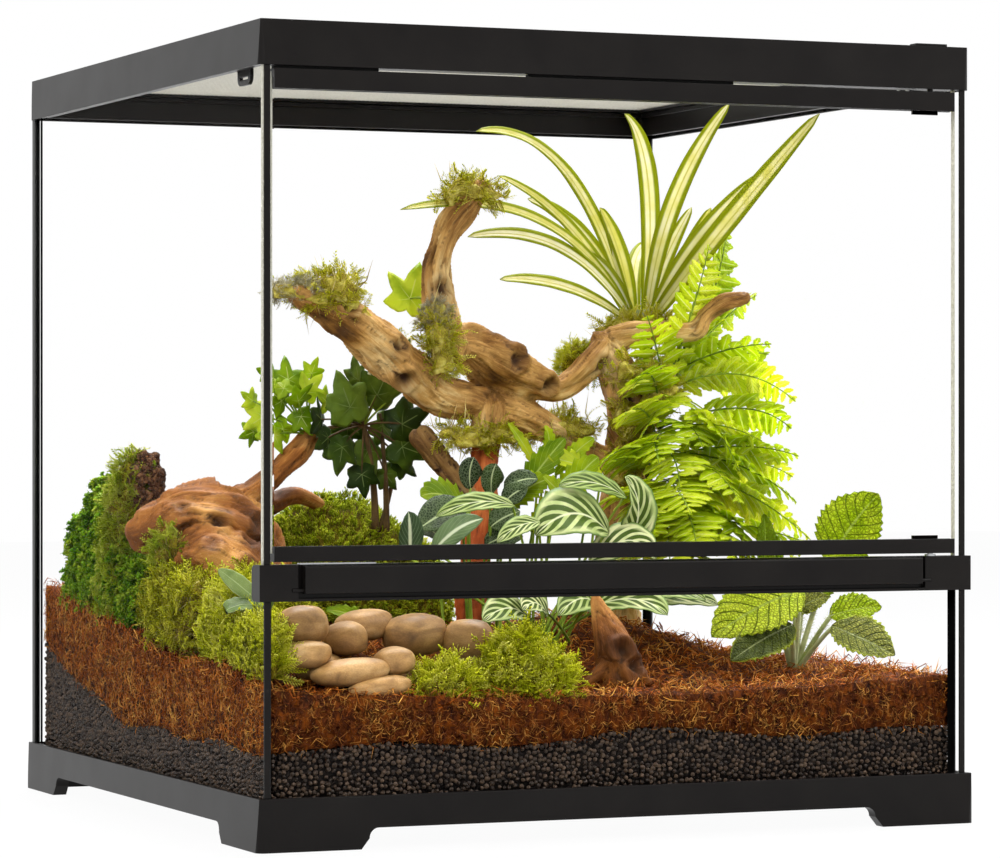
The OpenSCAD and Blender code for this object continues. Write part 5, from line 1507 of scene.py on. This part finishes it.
def buildPrayerPlant():
    rng = random.Random(47)
    # silvery blades with dark chevrons, a finer kind with a net of white veins, and plain green ones
    silver = leafFinish("bandedLeaf", ("#98ac5c", "#bac882", "#dee0aa"),
                        bands=("#485e1c", 5, 0.5, 0.16, 0.24), middle=("#dfe3ba", 0.07, 0.01),
                        margin=("#6d8a44", 0.84, 0.97), light=0.25)
    netted = leafFinish("nettedLeaf", ("#16240c", "#243614", "#3c5020"),
                        middle=("#b8c494", 0.1, 0.02), cells=("#a4b488", 1.7, 0.24), light=0.12)
    ribbed = leafFinish("ribbedDarkLeaf", ("#3a4e30", "#4e643e", "#6a8052"),
                        veins=("#8ea27a", 7, 0.5, 0.06, 0.01), middle=("#d2dab8", 0.2, 0.06), light=0.15)
    plain = leafFinish("plainGreenLeaf", ("#78980a", "#a6bc12", "#d0da28"),
                       veins=("#b4c84a", 8, 0.4, 0.06, 0.01), middle=("#ccd870", 0.08, 0.01), light=0.55)
    foot = Vector(prayer["foot"])
    for name, kind, finish, look, stands in (("bandedLeaves", "silver", silver, "look", ["prayer_plant"]),
                                             ("nettedLeaves", "netted", netted, "small", []),
                                             ("ribbedLeaves", "ribbed", ribbed, "small", []),
                                             ("plainLeaves", "plain", plain, "toothed", []),
                                             ("serratedLeaves", "serrated", plain, "toothed", [])):
        sheets, stems = [], []
        for start, middle, tip, width in prayer[kind]:
            sheets.append(blade((start, middle, tip), width, prayer[look], rng.random(), (0, -0.8, 0.6)))
            base = Vector(start)
            root = foot + Vector((rng.uniform(-14, 14), rng.uniform(-4, 10), 0))
            if kind not in ("silver", "ribbed"):
                root = Vector((base.x * 0.85, base.y + 10, 106))
            knee = root.lerp(base, 0.5) + Vector((0, 6, 8))
            stems.append(tube((root, knee, base + (Vector(middle) - base) * 0.06), 1.1, 0.7, rng.random()))
        plant(name, sheets, stems, finish, stemGreen, 0.3, stands)


quilted = {
    "foot": (172, -112, 84),
    "bright": [  # base of the blade, middle, tip, width
        ((193, -122, 158), (206, -126, 184), (224, -131, 202), 46),
        ((164, -140, 142), (126, -150, 134), (92, -158, 114), 46),
        ((190, -128, 124), (205, -136, 130), (220, -142, 130), 28),
        ((142, -130, 156), (143, -132, 176), (140, -134, 190), 16),
        ((152, -126, 152), (151, -128, 166), (150, -130, 176), 13),
        ((176, -116, 130), (192, -112, 150), (206, -110, 152), 26),
    ],
    "dark": [
        ((153, -148, 120), (124, -165, 114), (96, -176, 100), 32),
        ((180, -150, 119), (194, -165, 112), (211, -176, 101), 42),
        ((170, -118, 126), (180, -122, 136), (192, -124, 136), 18),
    ],
    "look": {"peak": 0.44, "rows": 52, "columns": 12, "keel": 0.16, "fullness": 0.72, "ripple": 0.7,
             "teeth": 13, "tooth": 0.15, "bulge": 0.9, "veins": 8},
    "hairs": 170,  # on each bright stem
}


def buildQuiltedPlant():
    rng = random.Random(53)
    # puckered blades, paler on their bulges, with sunk veins and a soft dull skin
    bright = leafFinish("quiltedLeaf", ("#7c9a06", "#b2cc10", "#e0ec3c"),
                        veins=("#7a9016", 8, 0.3, 0.1, 0.01), middle=("#b6c850", 0.06, 0.01),
                        cells=("#76880a", 2.3, 0.7), light=0.45, rough=(0.5, 0.7), reliefMm=1.3)
    dark = leafFinish("quiltedDarkLeaf", ("#505c1c", "#747e2a", "#9ea044"),
                      veins=("#4a5622", 8, 0.3, 0.1, 0.01), middle=("#9ca46c", 0.06, 0.01),
                      margin=("#b4c02c", 0.7, 1.0), cells=("#4a5422", 2.2, 0.7), light=0.25,
                      rough=(0.5, 0.7), reliefMm=1.2)
    foot = Vector(quilted["foot"])
    for name, kind, finish, stands in (("quiltedLeaves", "bright", bright, ["quilted_plant"]),
                                       ("quiltedDarkLeaves", "dark", dark, [])):
        sheets, stems = [], []
        for start, middle, tip, width in quilted[kind]:
            sheets.append(blade((start, middle, tip), width, quilted["look"], rng.random(), (0, -0.7, 0.7)))
            base = Vector(start)
            knee = foot.lerp(base, 0.5) + Vector((0, -2, 5))
            curve = (foot, knee, base + (Vector(middle) - base) * 0.05)
            stems.append(tube(curve, 2.0, 1.4, rng.random()))
            for _ in range(quilted["hairs"] if kind == "bright" else 0):  # woolly hairs on the stems
                root, way = bend(curve, rng.uniform(0.3, 1.0))
                out = Vector((rng.gauss(0, 1), rng.gauss(0, 1), rng.gauss(0, 1))).normalized()
                stems.append(tube((root, root + out * 2.2, root + out * 3.6 + way), 0.22, 0.08, 0.9, 1, 3))
        plant(name, sheets, stems, finish, stemPale, 0.35, stands)


ivy = {
    "foot": (-46, 66, 176),
    "fork": (-58, 56, 246),
    "dark": [  # centre, size, turn, tilt, lean
        (-72, 44, 258, 24, -20, 10, 10), (-92, 44, 250, 18, -70, 0, 30), (-50, 52, 266, 22, 20, 15, -10),
        (-34, 48, 247, 21, 60, 0, -20), (-33, 50, 232, 20, 110, 10, 0), (-76, 48, 232, 18, 190, 0, 0),
        (-54, 58, 230, 18, 160, 5, 10), (-40, 62, 214, 13, 140, 0, 0), (-64, 50, 276, 16, -10, -10, 20),
        (-86, 48, 238, 15, -120, 15, 0), (-44, 58, 246, 16, 130, -10, 10), (-60, 54, 214, 15, 170, 10, -10),
        (-26, 60, 252, 14, 80, 0, 10), (-28, 62, 222, 14, 130, 0, 10), (-68, 60, 246, 18, 120, 0, 0),
    ],
    "edged": [
        (-45, 50, 279, 18, 20, 20, 20), (-32, 54, 292, 15, 30, 10, 10), (-54, 54, 290, 13, -30, 15, 0),
        (-26, 56, 274, 13, 70, 10, 0),
    ],
    "bright": [
        (-118, 48, 262, 18, -60, 10, 20), (-128, 54, 252, 17, -120, 20, 0), (-112, 52, 276, 17, 0, -20, 0),
        (-100, 50, 268, 15, 40, 20, -20), (-124, 46, 240, 15, -150, 30, 10), (-88, 46, 262, 13, 70, -20, 10),
        (-136, 52, 262, 11, -60, 20, 10), (-126, 50, 280, 12, -20, 0, 20), (-104, 50, 252, 14, 150, 30, 0),
        (-108, 44, 262, 14, 20, 40, 30), (-114, 56, 244, 13, -140, -30, 0), (-96, 52, 280, 11, 20, 20, 0),
        (-118, 44, 270, 12, -30, -40, 10), (-134, 56, 242, 12, -110, 10, 0), (-45, 6, 328, 25, 20, 5, 8),
    ],
    "lobes": [(0, 1.08), (56, 0.9), (-56, 0.9), (116, 0.68), (-116, 0.68)],  # direction and reach
    "lobeWide": 30,  # half of a lobe, in degrees
    "offshoot": (-96, 58, 240),  # where the young leaves left of x branch off
    "leftOf": -95,
    "high": (-38, -6, 326),  # where a leaf above z hangs on the wood
    "above": 320,
    "gap": {"dark": 0.56, "edged": 0.46, "bright": 0.48},  # how far the bays between the lobes reach
}


def ivyLeaf(centre, size, turns, tone, gap):  # rings of points round the stalk's end, out to the lobes
    rings, steps = 6, 60
    wide = ivy["lobeWide"]
    place = Euler([math.radians(a) for a in turns], "XYZ").to_matrix()
    verts, faces, leaf = [Vector(centre)], [], [(0, 0, tone)]
    for r in range(1, rings + 1):
        share = r / rings
        for k in range(steps):
            angle = 360 * k / steps
            offs = [((angle - lobe + 180) % 360 - 180, reach) for lobe, reach in ivy["lobes"]]
            off, reach = min(offs, key=lambda o: abs(o[0]))
            edge = gap + (reach - gap) * max(0, 1 - abs(off) / wide) ** 1.25
            edge *= 1 + 0.05 * math.sin(math.radians(angle * 12)) * max(0, 1 - abs(off) / 26)
            edge *= 1 - 0.35 * max(0, 1 - abs(angle - 180) / 26)  # the notch at the stalk
            radius = size * edge * share
            a = math.radians(angle)
            sag = -0.10 * size * share ** 2 - 0.07 * size * share * math.cos(math.radians(off * 3))
            sag += 0.04 * size * math.sin(a * 3 + tone * 7) * share
            spot = Vector((math.sin(a) * radius, -sag, math.cos(a) * radius))
            verts.append(Vector(centre) + place @ spot)
            leaf.append((max(min(1.0, abs(off) / wide * share), (share - 0.6) / 0.4), share, tone))
    for k in range(steps):
        n = (k + 1) % steps
        faces.append((0, 1 + k, 1 + n))
        for r in range(rings - 1):
            a, b = 1 + r * steps, 1 + (r + 1) * steps
            faces.append((a + k, b + k, b + n, a + n))
    return verts, faces, leaf


def buildIvy():
    rng = random.Random(59)
    # leathery five-lobed leaves with pale veins; the young ones are thin and bright
    dark = leafFinish("ivyLeaf", ("#22360a", "#3c5414", "#668028"),
                      middle=("#7c9050", 0.05, 0.0), light=0.2, rough=(0.3, 0.48))
    edged = leafFinish("creamEdgedIvy", ("#4e6838", "#708450", "#949e72"),
                       middle=("#a9b890", 0.06, 0.0), margin=("#ecebcc", 0.5, 0.7), light=0.3)
    bright = leafFinish("youngIvy", ("#6c900c", "#9cba18", "#d2de48"),
                        middle=("#dee48e", 0.05, 0.0), light=0.5)
    fork = Vector(ivy["fork"])
    foot = Vector(ivy["foot"])
    offshoot = Vector(ivy["offshoot"])
    knee = foot.lerp(fork, 0.5)
    branches = [  # curve, and how thick at its two ends
        ((foot, knee + Vector((5, 0, 0)), fork), 2.6, 1.6),
        ((foot + Vector((8, 0, 0)), knee + Vector((14, 3, 0)), fork + Vector((12, 2, 8))), 2.2, 1.3),
        ((fork, fork.lerp(offshoot, 0.5) + Vector((0, 0, 5)), offshoot), 1.5, 1.1),
        ((foot + Vector((3, 2, 0)), foot + Vector((20, 4, 40)), Vector((-34, 60, 252))), 1.7, 1.0),
    ]
    for name, kind, finish, stem, stands in (("ivyLeaves", "dark", dark, stemBrown, ["ivy"]),
                                             ("ivyEdgedLeaves", "edged", edged, stemGreen, []),
                                             ("ivyYoungLeaves", "bright", bright, stemGreen, [])):
        sheets = []
        stems = []
        if kind == "dark":
            stems = [tube(points, thick, thin, 0.5) for points, thick, thin in branches]
        for x, y, z, size, turn, tilt, lean in ivy[kind]:
            jitter = rng.uniform(-14, 14)
            turns = (tilt + jitter, turn, lean + jitter)
            sheets.append(ivyLeaf((x, y, z), size, turns, rng.random(), ivy["gap"][kind]))
            start = offshoot if x < ivy["leftOf"] else fork
            if z > ivy["above"]:
                start = Vector(ivy["high"])
            end = Vector((x, y + 0.4, z))
            stems.append(tube((start, start.lerp(end, 0.5) + Vector((0, 0, 3)), end), 0.8, 0.6, 0.5, 6, 5))
        plant(name, sheets, stems, finish, stem, 0.3, stands)


oval = {
    "foot": (-196, -146, 108),
    "leaves": [
        ((-203, -150, 138), (-217, -152, 142), (-229, -154, 134), 17),
        ((-200, -148, 138), (-214, -142, 152), (-225, -138, 160), 12),
        ((-198, -152, 136), (-202, -158, 152), (-204, -162, 164), 17),
        ((-200, -146, 132), (-206, -128, 144), (-212, -116, 142), 14),
    ],
    "look": {"peak": 0.5, "rows": 22, "columns": 8, "keel": 0.14, "fullness": 0.62, "ripple": 0.3},
}


def buildOvalPlant():
    rng = random.Random(61)
    # smooth fleshy blades with a paler rim
    finish = leafFinish("smoothGreenLeaf", ("#4c6230", "#687e40", "#8c9e5c"),
                        middle=("#b4c28c", 0.05, 0.01), margin=("#a8b67c", 0.92, 0.99), light=0.3)
    foot = Vector(oval["foot"])
    sheets, stems = [], []
    for start, middle, tip, width in oval["leaves"]:
        sheets.append(blade((start, middle, tip), width, oval["look"], rng.random(), (-0.6, -0.4, 0.7)))
        base = Vector(start)
        stems.append(tube((foot, foot.lerp(base, 0.5) + Vector((0, 0, 4)), base), 1.3, 0.8, rng.random()))
    plant("ovalLeaves", sheets, stems, finish, stemPale, 0.5, ["oval_leaf_plant"])


buildSpiderPlant()
buildFern()
buildPrayerPlant()
buildQuiltedPlant()
buildIvy()
buildOvalPlant()
print("plants grown")


screen = {"pitchMm": 3.0, "wireMm": 0.45}


def buildScreen():
    # a screen of wires both ways, each a flat bar laid over or under the others' plane
    low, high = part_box("lid_mesh")
    pitch, half = screen["pitchMm"] * mm, screen["wireMm"] / 2 * mm
    middle = (low.z + high.z) / 2
    verts, faces = [], []

    for k in range(int((high.x - low.x) / pitch) + 1):
        x = low.x + half + k * pitch
        addForm(verts, faces, *box((x - half, low.y, middle - half), (x + half, high.y, middle)))
    for k in range(int((high.y - low.y) / pitch) + 1):
        y = low.y + half + k * pitch
        addForm(verts, faces, *box((low.x, y - half, middle), (high.x, y + half, middle + half)))
    piece = meshObject("lidScreen", verts, faces, material=finishes["mesh"], smooth=False)
    seat(piece, body="lid", stands=["lid_mesh"])


buildScreen()
print("screen woven")
